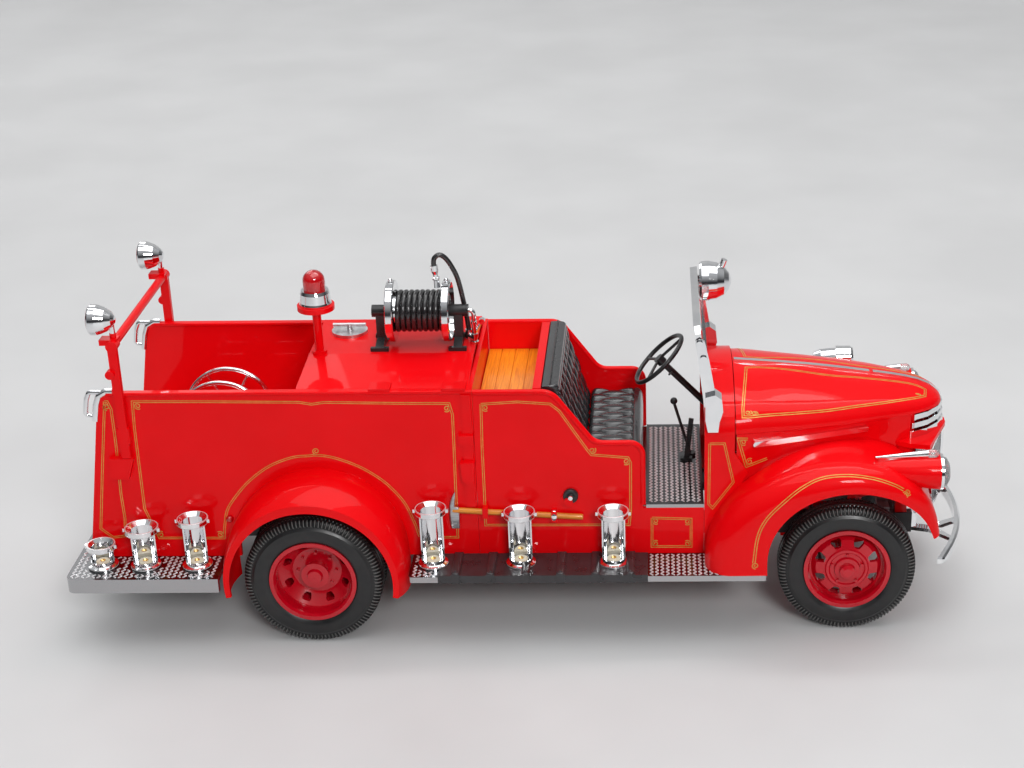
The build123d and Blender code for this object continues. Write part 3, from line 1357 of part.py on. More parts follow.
def bumper():
    """Bowed bar with two forked brackets to the frame."""
    end_x = 199.6
    sag = BUMPER_X - end_x
    half = 38.0
    r = (half * half + sag * sag) / (2 * sag)
    cx = BUMPER_X - r
    low, high = 23.6, 27.4
    lens = rod((cx, 0, low), (cx, 0, high), r)
    core = rod((cx, 0, 20), (cx, 0, 30), r - 1.8)
    mid = (low + high) / 2
    ends = [(-half, mid - 0.8), (-half + 0.5, mid - 1.3),
            (-half + 5, low), (half - 5, low), (half - 0.5, mid - 1.3),
            (half, mid - 0.8), (half, mid + 0.8), (half - 0.5, mid + 1.3),
            (half - 5, high), (-half + 5, high), (-half + 0.5, mid + 1.3),
            (-half, mid + 0.8)]
    bar = (lens & cross_plate(ends, 190, 215)) - core
    bar = chamfer(bar.faces().sort_by(Axis.X)[-1].edges(), 0.6)
    arm_low = BOARD_TOP + 0.6
    x_end = cx + math.sqrt((r - 1.5) ** 2 - 24 ** 2)
    x_mid = cx + math.sqrt((r - 1.5) ** 2 - 11 ** 2)
    arm = top_plate([(RAIL_FRONT, RAIL_Y), (197.5, 15.6), (x_mid, 10.0),
                     (x_mid, 12.2), (199.8, 17.0), (x_end, 23.2),
                     (x_end, 25.4), (197.5, 18.6), (RAIL_FRONT, 17.0)],
                    arm_low, arm_low + 1.2)
    plate = block(RAIL_FRONT, RAIL_FRONT + 1.4, RAIL_Y, RAIL_Y + RAIL_T,
                  BOARD_TOP + 0.2, RAIL_TOP - 0.2)
    return fuse([bar] + both(arm) + both(plate))


def lamp_trims():
    """Bright lamp rings and the marker spears on the nacelles."""
    ring = turned_x([(LAMP_X, 0), (LAMP_X, LAMP_R + 0.2),
                     (LAMP_X + 0.9, LAMP_R + 0.2), (LAMP_X + 1.2, LAMP_R - 0.5),
                     (LAMP_X + 1.2, 0)], LAMP_Y, LAMP_Z)
    a = Plane(origin=(177.0, LAMP_Y, 60.4), z_dir=(1, 0, 0))
    b = Plane(origin=(193.2, LAMP_Y, MARKER_Z), z_dir=(1, 0, 0))
    spear = loft([a * Circle(0.4), b * Circle(1.35)])
    saddle = block(178, 192, LAMP_Y - 0.5, LAMP_Y + 0.5, 56, 60.6)
    spear = (spear + saddle) - front_fender()
    solids = spear.solids().sort_by(SortBy.VOLUME)
    return both(ring) + both(solids[-1])


def lamp_lenses():
    dome = turned_x([(LAMP_X + 1.2, 0), (LAMP_X + 1.2, LAMP_R - 0.6),
                     (LAMP_X + 2.2, LAMP_R - 1.1), (LAMP_X + 3.0, LAMP_R - 2.6),
                     (LAMP_X + 3.4, 0)], LAMP_Y, LAMP_Z)
    marker = turned_x([(193.2, 0), (193.2, 1.35), (195.4, 1.4), (196.4, 0.9),
                       (196.7, 0)], LAMP_Y, MARKER_Z)
    marker = marker - front_fender()
    return both(dome) + both(marker)


def siren():
    """Siren on the left fender, slotted at its front."""
    y = 33.0
    z = 66.2
    horn = turned_x([(162.4, 0), (162.9, 1.8), (165.4, 2.9), (168.6, 3.2),
                     (170.4, 3.3), (170.6, 4.0), (175.6, 4.0), (176.4, 3.4),
                     (176.4, 2.6), (175.2, 2.4), (175.2, 0)], y, z)
    foot = block(167.6, 170.8, y - 1.3, y + 1.3, 56, z - 2.4)
    whole = (horn + foot) - front_fender()
    return whole.solids().sort_by(SortBy.VOLUME)[-1]


def windshield_frame():
    """Upright bright frame; feet clamp on the cowl shoulders."""
    half = SHIELD_HALF
    t = SHIELD_ROD
    low = 12.6
    bars = [block(-t / 2, t / 2, half - t, half, 8.0, SHIELD_H - 2.0),
            block(-t / 2, t / 2, -half, -half + t, 8.0, SHIELD_H - 2.0),
            block(-1.2, 1.2, -half + 2, half - 2, SHIELD_H - t, SHIELD_H),
            block(-t / 2, t / 2, -half, half, low, low + t)]
    for s in (-1, 1):
        bars.append(cross_plate([(s * half, SHIELD_H - 2.0),
                                 (s * (half - 2.0), SHIELD_H),
                                 (s * (half - 2.0), SHIELD_H - t),
                                 (s * (half - t), SHIELD_H - 2.6),
                                 (s * (half - t), SHIELD_H - 4)],
                                -t / 2, t / 2))
    upright = fuse(bars)
    upright = Pos(SHIELD_FOOT_X, 0, SHIELD_FOOT_Z) * Rot(0, -SHIELD_LEAN, 0) \
        * upright
    foot = side_plate([(124.2, 79.8), (127.2, 80.6), (129.3, 79.0),
                       (129.7, 75.0), (128.6, 71.4), (128.2, 68.0),
                       (125.0, 68.0), (124.2, 72.0)], 26.0, 31.6)
    arm = side_plate([(123.9, 75.7), (128.1, 75.7), (125.3, 91.8),
                      (123.9, 97.6), (122.4, 98.6), (121.1, 97.8),
                      (121.9, 91.8)], half - 0.4, half + 0.8)
    knobs = [rod((x, half, z), (x, half + 1.6, z), 1.2)
             for x, z in ((122.4, 96.8), (123.6, 91.8))]
    whole = fuse([upright] + both(foot) + both(arm) + both(fuse(knobs)))
    plane = Plane(origin=(COWL_REAR - 3, 0, 0), x_dir=(0, 1, 0),
                  z_dir=(1, 0, 0))
    solid_cowl = extrude(plane * cowl_face(0, FLOOR_Z), 20)
    whole = whole - solid_cowl
    lamp = turned_x([(123.4, 0), (123.4, 6.0), (124.2, 6.5), (126.5, 6.6),
                     (129.3, 6.1), (131.6, 4.9), (133.2, 3.0), (133.9, 1.2),
                     (134.0, 0)], 21.4, 98.8)
    lamp = lamp + rod((121.4, 26.6, 97.6), (125.4, 24.6, 98.4), 1.3)
    lamp = lamp + rod((130.8, 21.4, 103.4), (131.8, 21.4, 106.2), 1.1)
    return whole + lamp


def windshield_glass():
    half = SHIELD_HALF - SHIELD_ROD
    low = 12.6 + SHIELD_ROD
    pane = cross_plate([(-half, low), (half, low), (half, SHIELD_H - 4.0),
                        (half, SHIELD_H - 4.0),
                        (half - 2.0, SHIELD_H - SHIELD_ROD),
                        (-half + 2.0, SHIELD_H - SHIELD_ROD),
                        (-half, SHIELD_H - 4.0)][:3] +
                       [(half - 0.6, SHIELD_H - 3.0),
                        (half - 2.0, SHIELD_H - SHIELD_ROD),
                        (-half + 2.0, SHIELD_H - SHIELD_ROD),
                        (-half + 0.6, SHIELD_H - 3.0),
                        (-half, SHIELD_H - 4.0)], -0.3, 0.3)
    pane = Pos(SHIELD_FOOT_X, 0, SHIELD_FOOT_Z) * Rot(0, -SHIELD_LEAN, 0) \
        * pane
    return pane - windshield_frame()


def helm_axis():
    a = math.radians(COLUMN_TILT)
    return Vector(math.cos(a), 0, -math.sin(a))


def steering_wheel():
    centre = Vector(*HELM)
    axis = helm_axis()
    plane = Plane(origin=centre, x_dir=(0, 1, 0), z_dir=axis)
    ring = plane * Torus(HELM_R, HELM_ROD)
    hub = plane * Pos(0, 0, 0.6) * Cylinder(1.7, 2.4)
    pieces = [ring, hub]
    for i in range(3):
        a = math.radians(90 + i * 120)
        tip = plane.from_local_coords((HELM_R * math.cos(a),
                                       HELM_R * math.sin(a), 0))
        pieces.append(rod(tuple(centre), tuple(tip), 0.5))
    return fuse(pieces)


def driver_controls():
    """Steering column, gear lever and brake lever."""
    centre = Vector(*HELM)
    axis = helm_axis()
    start = centre + axis * (1.8 + HELM_GAP)
    reach = (COWL_FRONT - WALL_T - start.X) / axis.X
    plane = Plane(origin=start, x_dir=(0, 1, 0), z_dir=axis)
    column = extrude(plane * Circle(COLUMN_R), reach + 3)
    column = column - block(COWL_FRONT - WALL_T, 150, -40, 40, 20, 90)
    mid = centre + axis * 6.5
    stalk = rod(tuple(mid), (mid.X - 1.2, mid.Y - 5.6, mid.Z + 1.4), 0.35)
    under = block(90, 130, -40, 40, 20, FLOOR_Z)
    pieces = [column + stalk]
    gear = rod((120.4, 6, FLOOR_Z), (114.9, 6, 61.4), 0.5)
    gear = gear + Pos(114.8, 6, 62.2) * Sphere(1.2)
    gear = gear + rod((120.4, 6, FLOOR_Z), (120.4, 6, FLOOR_Z + 1.0), 1.6)
    pieces.append(gear - under)
    brake = side_plate([(117.9, FLOOR_Z), (119.7, FLOOR_Z), (121.3, 57.4),
                        (119.7, 57.7)], 1.6, 2.4)
    brake = brake + block(116.8, 120.8, 1.0, 3.0, FLOOR_Z, FLOOR_Z + 1.0)
    pieces.append(brake - under)
    return pieces


def place(shape, x, y):
    return Pos(x, y, AXLE_Z) * shape


NODES = {}
FRONT_HALF = ("engine", "radiator", "hood", "hood_strip", "cowl", "nose",
              "nose_trim", "lower_grille", "front_fenders", "cab_sides",
              "seat_panel", "wood_floor", "cab_floor", "seat_cushion",
              "seat_back", "bumper", "lamp_trims", "lamp_lenses", "siren",
              "windshield_frame", "windshield_glass", "steering_wheel",
              "driver_controls")


def keep(name, shape):
    """Store a node; the front half keeps its place from the front axle."""
    if name in FRONT_HALF and LONGER:
        moved = shape if isinstance(shape, list) else [shape]
        shape = [Pos(LONGER, 0, 0) * piece for piece in moved]
    NODES[name] = shape


keep("frame", frame())
keep("rear_axle", rear_axle())
keep("front_axle", front_axle())
left_knuckle = knuckle()
keep("knuckle_left", left_knuckle)
keep("knuckle_right", across(left_knuckle))
keep("tie_rod", tie_rod())

tyre = tyre_shape()
rim = front_rim()
dual = rear_rims()
keep("tyre_front_left", place(tyre, WHEELBASE, FRONT_TYRE_Y))
keep("tyre_front_right", across(place(tyre, WHEELBASE, FRONT_TYRE_Y)))
keep("rim_front_left", place(rim, WHEELBASE, FRONT_TYRE_Y))
keep("rim_front_right", across(place(rim, WHEELBASE, FRONT_TYRE_Y)))
pair = [place(tyre, 0, REAR_TYRE_Y), place(tyre, 0, REAR_TYRE_Y - DUAL_PITCH)]
keep("tyres_rear_left", pair)
keep("tyres_rear_right", [across(t) for t in pair])
keep("rims_rear_left", place(dual, 0, REAR_TYRE_Y))
keep("rims_rear_right", across(place(dual, 0, REAR_TYRE_Y)))

keep("engine", engine())
keep("radiator", radiator())
keep("hood", hood())
keep("hood_strip", hood_strip())
keep("cowl", cowl())
keep("nose", nose())
keep("nose_trim", nose_trim())
keep("lower_grille", lower_grille())
keep("front_fenders", both(front_fender()))
keep("rear_fenders", rear_fenders())
keep("hose_body", hose_body())
keep("tank_deck", tank_deck())
keep("tank_hatch", tank_hatch())
keep("beacon_drum", beacon_drum())
keep("beacon_dome", beacon_dome())
keep("cab_sides", cab_sides())
keep("seat_panel", seat_panel())
keep("wood_floor", wood_floor())
keep("cab_floor", cab_floor())
keep("seat_cushion", seat_cushion())
keep("seat_back", seat_back())
keep("running_boards", running_boards())
keep("board_mats", board_mats())
keep("tailboard", tailboard())
keep("cups", cups())
keep("wall_hardware", wall_hardware())
keep("light_bar", light_bar())
keep("rear_lamps", rear_lamps())
keep("grab_handles", grab_handles())
keep("axe", axe())
keep("reel_stands", reel_stands())
keep("reel_flanges", reel_flanges())
keep("reel_hose", reel_hose())
keep("reel_pipe", reel_pipe())
keep("hose_tail", hose_tail())
keep("nozzle", nozzle())
keep("bed_reel", bed_reel())
keep("bed_reel_stand", bed_reel_stand())
keep("bumper", bumper())
keep("lamp_trims", lamp_trims())
keep("lamp_lenses", lamp_lenses())
keep("siren", siren())
keep("windshield_frame", windshield_frame())
keep("windshield_glass", windshield_glass())
keep("steering_wheel", steering_wheel())
keep("driver_controls", driver_controls())

for name, shape in NODES.items():
    if isinstance(shape, list):
        solids = []
        for item in shape:
            solids += list(item.solids())
        shape = Compound(children=[Pos(-MID_X, 0, 0) * s for s in solids])
    else:
        shape = Pos(-MID_X, 0, 0) * shape
    export_step(shape, "parts/" + name + ".step")
print(len(NODES), "nodes")
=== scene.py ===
# %% [markdown]
# # An open-cab fire engine, as a die-cast model
#
# The engine is about 287 mm long. Its castings, wheels, lamps and rails are
# already there as solids, and they come in as a fixed frame. This lesson adds
# what a solid can't carry well: the tufted seat, the notches in the tyres, the
# bars of the tread plate, the gold lines, the wound hose, and all the finishes.

# %% Load the frame
import math

import bmesh
import bpy
import numpy as np
from mathutils import Matrix, Vector


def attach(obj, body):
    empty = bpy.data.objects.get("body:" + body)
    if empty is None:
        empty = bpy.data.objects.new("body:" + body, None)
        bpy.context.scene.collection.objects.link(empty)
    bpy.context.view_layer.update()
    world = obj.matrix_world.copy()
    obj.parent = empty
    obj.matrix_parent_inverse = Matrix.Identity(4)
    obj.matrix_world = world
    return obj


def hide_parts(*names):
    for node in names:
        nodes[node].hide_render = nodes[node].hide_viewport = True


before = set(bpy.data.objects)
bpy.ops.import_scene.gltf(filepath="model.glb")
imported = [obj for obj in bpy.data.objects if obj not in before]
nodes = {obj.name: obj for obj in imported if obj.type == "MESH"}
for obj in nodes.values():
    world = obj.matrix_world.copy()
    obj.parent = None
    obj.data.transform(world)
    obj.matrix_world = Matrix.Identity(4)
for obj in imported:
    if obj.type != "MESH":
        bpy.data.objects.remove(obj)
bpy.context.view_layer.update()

# %% [markdown]
# ## Millimetres on the model
#
# Every size below is in millimetres, with x counted from the rear axle, y to
# the left and z up from the ground. Blender works in metres from the middle of
# the model. Moving each object into place would work too, but its paint grain
# would move along, so the points themselves are moved and objects stay at 0.

# %% Places
REAR_AXLE_X = -66.0     # the rear axle, counted from the middle of the model


def at(points):
    """Millimetres from the rear axle, turned into Blender's metres."""
    return (np.asarray(points, float) + (REAR_AXLE_X, 0.0, 0.0)) / 1000.0


def millimetres(row):
    """The way back: a flat row of Blender's coordinates as points from the rear axle."""
    return row.reshape(-1, 3) * 1000 - (REAR_AXLE_X, 0.0, 0.0)


print("rear axle at", at((0.0, 0.0, 0.0)))

# %% [markdown]
# ## Skins
#
# Each new piece is a surface worked out as one array: a grid of points whose
# two sides are the two parameters of its formula. It could be drawn by hand in
# edit mode, but a formula holds its sizes in one place and makes ten thousand
# points at once. Neighbours on the grid become faces, and a side that is round
# closes on itself.

# %% Grids


def unit(v):
    """Rows of vectors, each divided by its own length."""
    return v / np.maximum(np.linalg.norm(v, axis=-1, keepdims=True), 1e-12)


def grid_faces(n, m, round_n=False, round_m=False):
    """Quads between neighbours of an n by m grid; a round side closes on itself."""
    i = np.arange(n if round_n else n - 1)[:, None]
    j = np.arange(m if round_m else m - 1)[None, :]
    i2, j2 = (i + 1) % n, (j + 1) % m
    quads = np.stack([i * m + j, i2 * m + j, i2 * m + j2, i * m + j2], axis=-1)
    return quads.reshape(-1, 4)


def joined(parts):
    """Several (points, faces) skins as one; faces stay rows of equal length."""
    shift = np.cumsum([0] + [np.size(p) // 3 for p, _ in parts[:-1]])
    points = np.concatenate([np.reshape(p, (-1, 3)) for p, _ in parts])
    faces = [row for (_, f), s in zip(parts, shift) for row in (np.asarray(f) + s).tolist()]
    return points, faces


print("helpers: unit, grid_faces, joined")

# %% [markdown]
# A skin becomes a piece when it is in the scene. A seam or a pole still has its
# points twice there, which would show as a crack, so doubles are welded and the
# faces are then turned outwards. The piece rides on a body, and moves with it.

# %% A piece from a skin


def piece(name, skin, material, body="chassis", smooth=35.0):
    """A mesh from (points in mm, faces), welded, turned outwards and riding on a body."""
    points, faces = skin
    mesh = bpy.data.meshes.new(name)
    rows = faces.tolist() if isinstance(faces, np.ndarray) else faces
    mesh.from_pydata(at(np.reshape(points, (-1, 3))).tolist(), [], rows)
    work = bmesh.new()
    work.from_mesh(mesh)
    bmesh.ops.remove_doubles(work, verts=work.verts, dist=2e-6)
    bmesh.ops.recalc_face_normals(work, faces=work.faces)
    work.to_mesh(mesh)
    work.free()
    mesh.materials.append(material)
    mesh.shade_smooth()
    mesh.set_sharp_from_angle(angle=math.radians(smooth))
    obj = bpy.data.objects.new(name, mesh)
    bpy.context.scene.collection.objects.link(obj)
    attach(obj, body)
    print(name, "faces", len(mesh.polygons))
    return obj


print("helper: piece")

# %% [markdown]
# ## The camera
#
# The picture was taken from the engine's right side, a little above it. A
# camera could be placed by eye, but then every piece would be compared with a
# skewed view. Instead the wheels and boards gave the place of the lens: 23
# degrees up, nearly square to the side, the middle slightly left of the axis.

# %% Camera
LENS_PIXELS = 1800.475
PICTURE = (1024, 768)
AXIS_U = 634.0          # where the lens axis meets the picture
EYE = (109.485, -539.349, 304.085)
YAW, DOWN, ROLL = (math.radians(a) for a in (0.820, 23.370, 0.743))


def camera_axes(yaw, down, roll):
    """Right, up and backward axes of a camera turned by yaw, looking down and leaning by roll."""
    level = math.cos(down)
    look = np.array([-math.sin(yaw) * level, math.cos(yaw) * level, -math.sin(down)])
    flat = np.array([math.cos(yaw), math.sin(yaw), 0.0])
    up = np.cross(flat, look)
    right = math.cos(roll) * flat - math.sin(roll) * up
    return right, math.sin(roll) * flat + math.cos(roll) * up, -look


camera = bpy.data.objects.new("Camera", bpy.data.cameras.new("Camera"))
camera.data.lens = LENS_PIXELS / PICTURE[0] * camera.data.sensor_width
camera.data.shift_x = -(AXIS_U - PICTURE[0] / 2) / PICTURE[0]
camera.data.clip_start, camera.data.clip_end = 0.01, 20.0
turn = Matrix(np.stack(camera_axes(YAW, DOWN, ROLL), axis=1).tolist()).to_4x4()
camera.matrix_world = Matrix.Translation(Vector(at(EYE))) @ turn
bpy.context.scene.collection.objects.link(camera)
bpy.context.scene.camera = camera
bpy.context.scene.view_settings.view_transform = "Standard"
print("lens", round(camera.data.lens, 2), "shift", round(camera.data.shift_x, 3))

# %% [markdown]
# ## Finishes
#
# No real surface has one flat colour. An image could be wrapped round a piece,
# but it would need an unwrapped map and blur up close. So a finish is a
# Principled shader whose colour, roughness and bump follow small noises in
# Object coordinates: sharp at any distance, and fixed to the piece as it moves.

# %% Nodes and shaders


def wire(mat, kind, settings=None, **sockets):
    """Adds a node; a socket gets a value or another node's output, and _ stands for a space."""
    n = mat.node_tree.nodes.new(kind)
    for key, value in (settings or {}).items():
        setattr(n, key, value)
    for key, value in sockets.items():
        socket = n.inputs[key.replace("_", " ")]
        if isinstance(value, bpy.types.NodeSocket):
            mat.node_tree.links.new(value, socket)
        else:
            socket.default_value = value
    return n


def shader(name, colour, **sockets):
    """A material and its shader; constants go straight on the shader's sockets."""
    mat = bpy.data.materials.new(name)
    mat.use_nodes = True
    out = mat.node_tree.nodes["Principled BSDF"]
    out.inputs["Base Color"].default_value = (*colour, 1.0)
    mat.diffuse_color = (*colour, 1.0)
    for key, value in sockets.items():
        out.inputs[key.replace("_", " ")].default_value = value
    return mat, out


print("helpers: wire, shader")

# %% [markdown]
# The noise is asked at the Object coordinates divided by a grain size, so its
# grain is given in millimetres on the model. The same noise can go to a ramp of
# colours, to a ramp of greys for the roughness, and to the bump.

# %% Noise, ramps and relief


def places(mat, size=1.0):
    """Object coordinates divided by a grain size in mm, one number or three along x, y, z."""
    coords = wire(mat, "ShaderNodeTexCoord").outputs["Object"]
    scale = tuple(1000.0 / np.broadcast_to(size, 3))
    return wire(mat, "ShaderNodeMapping", Vector=coords, Scale=scale).outputs["Vector"]


def noise(mat, size, detail=3.0, rough=0.55):
    """Soft noise from 0 to 1 with that grain size in millimetres."""
    where = places(mat, size)
    n = wire(mat, "ShaderNodeTexNoise", Vector=where, Scale=1.0, Detail=detail, Roughness=rough)
    return n.outputs["Fac"]


def ramp(mat, value, low, high, a=0.35, b=0.65):
    """A value spread between two colours or two greys, from a to b."""
    n = wire(mat, "ShaderNodeValToRGB", Fac=value)
    n.color_ramp.elements[0].position, n.color_ramp.elements[1].position = a, b
    for stop, c in zip(n.color_ramp.elements, (low, high)):
        stop.color = (*c, 1.0) if np.ndim(c) else (c, c, c, 1.0)
    return n.outputs["Color"]


def bump(mat, out, height, depth):
    """Relief of that depth in millimetres on the shader's normal."""
    n = wire(mat, "ShaderNodeBump", Height=height, Distance=depth / 1000.0, Strength=1.0)
    mat.node_tree.links.new(n.outputs["Normal"], out.inputs["Normal"])


print("helpers: places, noise, ramp, bump")

# %% [markdown]
# Most finishes here are built alike, so one function builds them: the colour
# and the roughness follow one broad noise, and a finer one raises the surface
# by thousandths of a millimetre. Only the numbers differ from paint to rubber.

# %% A grained finish


def grained(name, low, high, size, rough=(0.3, 0.4), depth=0.0, fine=None, **sockets):
    """A finish with colour from low to high, roughness on the same noise, relief on a finer one."""
    middle = tuple((a + b) / 2 for a, b in zip(low, high))
    mat, out = shader(name, middle, **sockets)
    broad = noise(mat, size)
    link = mat.node_tree.links.new
    link(ramp(mat, broad, low, high), out.inputs["Base Color"])
    link(ramp(mat, broad, *rough), out.inputs["Roughness"])
    if depth:
        bump(mat, out, noise(mat, fine or size, 4.0), depth)
    return mat


print("helper: grained")

# %% [markdown]
# ### Enamel
#
# The body is thick glossy enamel over a smooth casting. The rims wear the same
# red made darker, which is painted shade for the dish of the wheel. One shiny
# layer would do for plain paint, but enamel shows a soft red below and a sharp
# reflection on top, so the shine is a coat over a duller base.

# %% Enamel
red_enamel = grained("red_enamel", (0.80, 0.0010, 0.003), (0.86, 0.0018, 0.005), 30.0,
                     rough=(0.34, 0.38), depth=0.0006, fine=2.6, Specular_IOR_Level=0.04,
                     Coat_Weight=0.36, Coat_Roughness=0.03, Coat_IOR=1.42)
# painted shade: the rims' base is the body red made darker, for the shade in the wheel's dish
rim_red_shaded = grained("rim_red_shaded", (0.50, 0.001, 0.010), (0.58, 0.002, 0.014), 30.0,
                  rough=(0.22, 0.28), depth=0.0006, fine=2.6, Specular_IOR_Level=0.2,
                  Coat_Weight=0.8, Coat_Roughness=0.05, Coat_IOR=1.5)
frame_black = grained("frame_black", (0.018, 0.018, 0.020), (0.035, 0.034, 0.034), 8.0,
                      rough=(0.35, 0.5), depth=0.01, fine=0.6)
print("enamel:", [m.name for m in (red_enamel, rim_red_shaded, frame_black)])

# %% [markdown]
# ### Metal
#
# Bright parts are vacuum-plated plastic: nearly a mirror, with slightly cloudy
# patches, so their roughness changes with the noise. Between the bars of the
# tread plate the flat ground looks dark. That dark is painted shade: the flat
# ground is all that faces up, so the normal's z picks it and darkens it.

# %% Metal
chrome = grained("chrome", (0.80, 0.81, 0.83), (0.90, 0.905, 0.91), 9.0,
                 rough=(0.05, 0.11), depth=0.002, fine=2.0, Metallic=1.0)
tread_bright = grained("tread_bright", (0.84, 0.85, 0.86), (0.90, 0.91, 0.92), 10.0,
                       rough=(0.30, 0.38), depth=0.002, fine=0.5, Metallic=0.6)
axe_steel = grained("axe_steel", (0.42, 0.42, 0.44), (0.60, 0.60, 0.62), (3.0, 3.0, 0.6),
                    rough=(0.30, 0.42), depth=0.004, fine=(1.5, 1.5, 0.2), Metallic=1.0)
hatch_metal = grained("hatch_metal", (0.55, 0.55, 0.56), (0.70, 0.70, 0.71), (1.2, 8.0, 8.0),
                      rough=(0.3, 0.42), depth=0.004, fine=(0.25, 4.0, 4.0), Metallic=1.0)
engine_grey = grained("engine_grey", (0.27, 0.29, 0.30), (0.36, 0.38, 0.39), 6.0,
                      rough=(0.4, 0.55), depth=0.02, fine=0.5, Metallic=0.3)
gold = grained("gold", (0.58, 0.29, 0.045), (0.72, 0.42, 0.09), 2.0,
               rough=(0.32, 0.42), depth=0.001, fine=0.3, Metallic=0.35)
tread_steel = grained("tread_steel", (0.40, 0.40, 0.41), (0.46, 0.46, 0.47), 14.0,
                      rough=(0.14, 0.20), depth=0.001, fine=0.3, Metallic=1.0)
# painted shade: faces of the plate that point up get a dark base colour, its sides a pale one
normal = wire(tread_steel, "ShaderNodeTexCoord").outputs["Normal"]
upward = wire(tread_steel, "ShaderNodeSeparateXYZ", Vector=normal).outputs["Z"]
painted_shade_top = ramp(tread_steel, upward, (0.46, 0.46, 0.47), (0.12, 0.12, 0.125), 0.7, 0.9)
tread_steel.node_tree.links.new(painted_shade_top, tread_steel.node_tree.nodes["Principled BSDF"].inputs["Base Color"])
print("metal:", [m.name for m in (chrome, tread_bright, axe_steel, hatch_metal, engine_grey, gold)])

# %% [markdown]
# ### Rubber, plastic and leather
#
# The tyres, mats and hose are black, but no two blacks on the model are alike:
# what tells them apart is how broad their highlights are. So they share nearly
# one colour, and differ in roughness, specular level and grain.

# %% Rubber, plastic and leather
tyre_rubber = grained("tyre_rubber", (0.007, 0.007, 0.008), (0.013, 0.013, 0.013), 4.0,
                      rough=(0.30, 0.38), depth=0.002, fine=0.25, Specular_IOR_Level=0.55)
# the paler rubber is a painted highlight on the tops of the tyre ridges
ridge_highlight_rubber = grained("ridge_highlight_rubber", (0.10, 0.10, 0.095), (0.16, 0.155, 0.15), 3.0,
                      rough=(0.45, 0.6), depth=0.004, fine=0.25)
mat_rubber = grained("mat_rubber", (0.020, 0.019, 0.021), (0.034, 0.032, 0.035), 5.0,
                     rough=(0.26, 0.36), depth=0.003, fine=0.35, Specular_IOR_Level=0.6)
hose_rubber = grained("hose_rubber", (0.014, 0.013, 0.014), (0.026, 0.025, 0.026), 2.0,
                      rough=(0.16, 0.24), depth=0.001, fine=0.3, Specular_IOR_Level=0.8)
black_plastic = grained("black_plastic", (0.012, 0.012, 0.013), (0.022, 0.022, 0.023), 6.0,
                        rough=(0.26, 0.36), depth=0.004, fine=0.5)
leather = grained("leather", (0.012, 0.012, 0.014), (0.022, 0.022, 0.024), 3.0,
                  rough=(0.20, 0.28), depth=0.004, fine=0.5, Specular_IOR_Level=0.6,
                  Coat_Weight=0.45, Coat_Roughness=0.10)
cream = grained("cream", (0.70, 0.62, 0.46), (0.80, 0.73, 0.58), 0.8,
                rough=(0.6, 0.75), depth=0.02, fine=0.2)
print("soft:", [m.name for m in (tyre_rubber, ridge_highlight_rubber, mat_rubber, hose_rubber, leather, cream)])

# %% [markdown]
# ### Lenses and glass
#
# Lenses are clear or red plastic. Full transmission would let the dark inside
# of the lamps through, so only part of the light passes. The head lamps' upright
# flutes are a wave in the bump, because as geometry they would be too fine to see.

# %% Lenses and glass
red_lens = grained("red_lens", (0.62, 0.0, 0.004), (0.76, 0.002, 0.008), 3.0, rough=(0.06, 0.12),
                   Transmission_Weight=0.30, IOR=1.49, Coat_Weight=1.0, Coat_Roughness=0.02)
clear_lens = grained("clear_lens", (0.86, 0.88, 0.88), (0.93, 0.94, 0.94), 3.0, rough=(0.04, 0.09),
                     Transmission_Weight=0.75, IOR=1.45)
flutes = wire(clear_lens, "ShaderNodeTexWave", {"bands_direction": "Y"}, Vector=places(clear_lens),
              Scale=0.35)
bump(clear_lens, clear_lens.node_tree.nodes["Principled BSDF"], flutes.outputs["Fac"], 0.12)
window_clear = grained("window_clear", (0.93, 0.955, 0.95), (0.97, 0.98, 0.98), 20.0,
                       rough=(0.015, 0.03), Transmission_Weight=1.0, IOR=1.25)
print("glass:", [m.name for m in (red_lens, clear_lens, window_clear)])

# %% [markdown]
# ### Wood
#
# The locker floor and the axe handle are varnished wood. Drawing single growth
# lines would take a second pattern, but noise that is stretched far along the
# grain and hardly across it gives them by itself.

# %% Wood


def planks(name, low, high, size):
    """Varnished wood: the same stretched noise darkens, roughens and sinks the growth lines."""
    mat, out = shader(name, high, Coat_Weight=0.35, Coat_Roughness=0.12)
    lines = noise(mat, size, 4.0, 0.7)
    link = mat.node_tree.links.new
    link(ramp(mat, lines, low, high, 0.3, 0.62), out.inputs["Base Color"])
    link(ramp(mat, lines, 0.42, 0.30), out.inputs["Roughness"])
    bump(mat, out, lines, 0.02)
    return mat


wood = planks("wood", (0.60, 0.16, 0.004), (0.95, 0.34, 0.012), (0.5, 14.0, 0.5))
axe_wood = planks("axe_wood", (0.50, 0.12, 0.006), (0.80, 0.30, 0.03), (14.0, 0.5, 0.5))
print("wood:", wood.name, axe_wood.name)

# %% [markdown]
# ### Which solid wears which finish
#
# Each solid was cast in one colour, so one finish covers all of it. A line for
# every solid would hide which finishes belong together, so the table goes the
# other way round: a finish, and the names of all the solids that wear it.

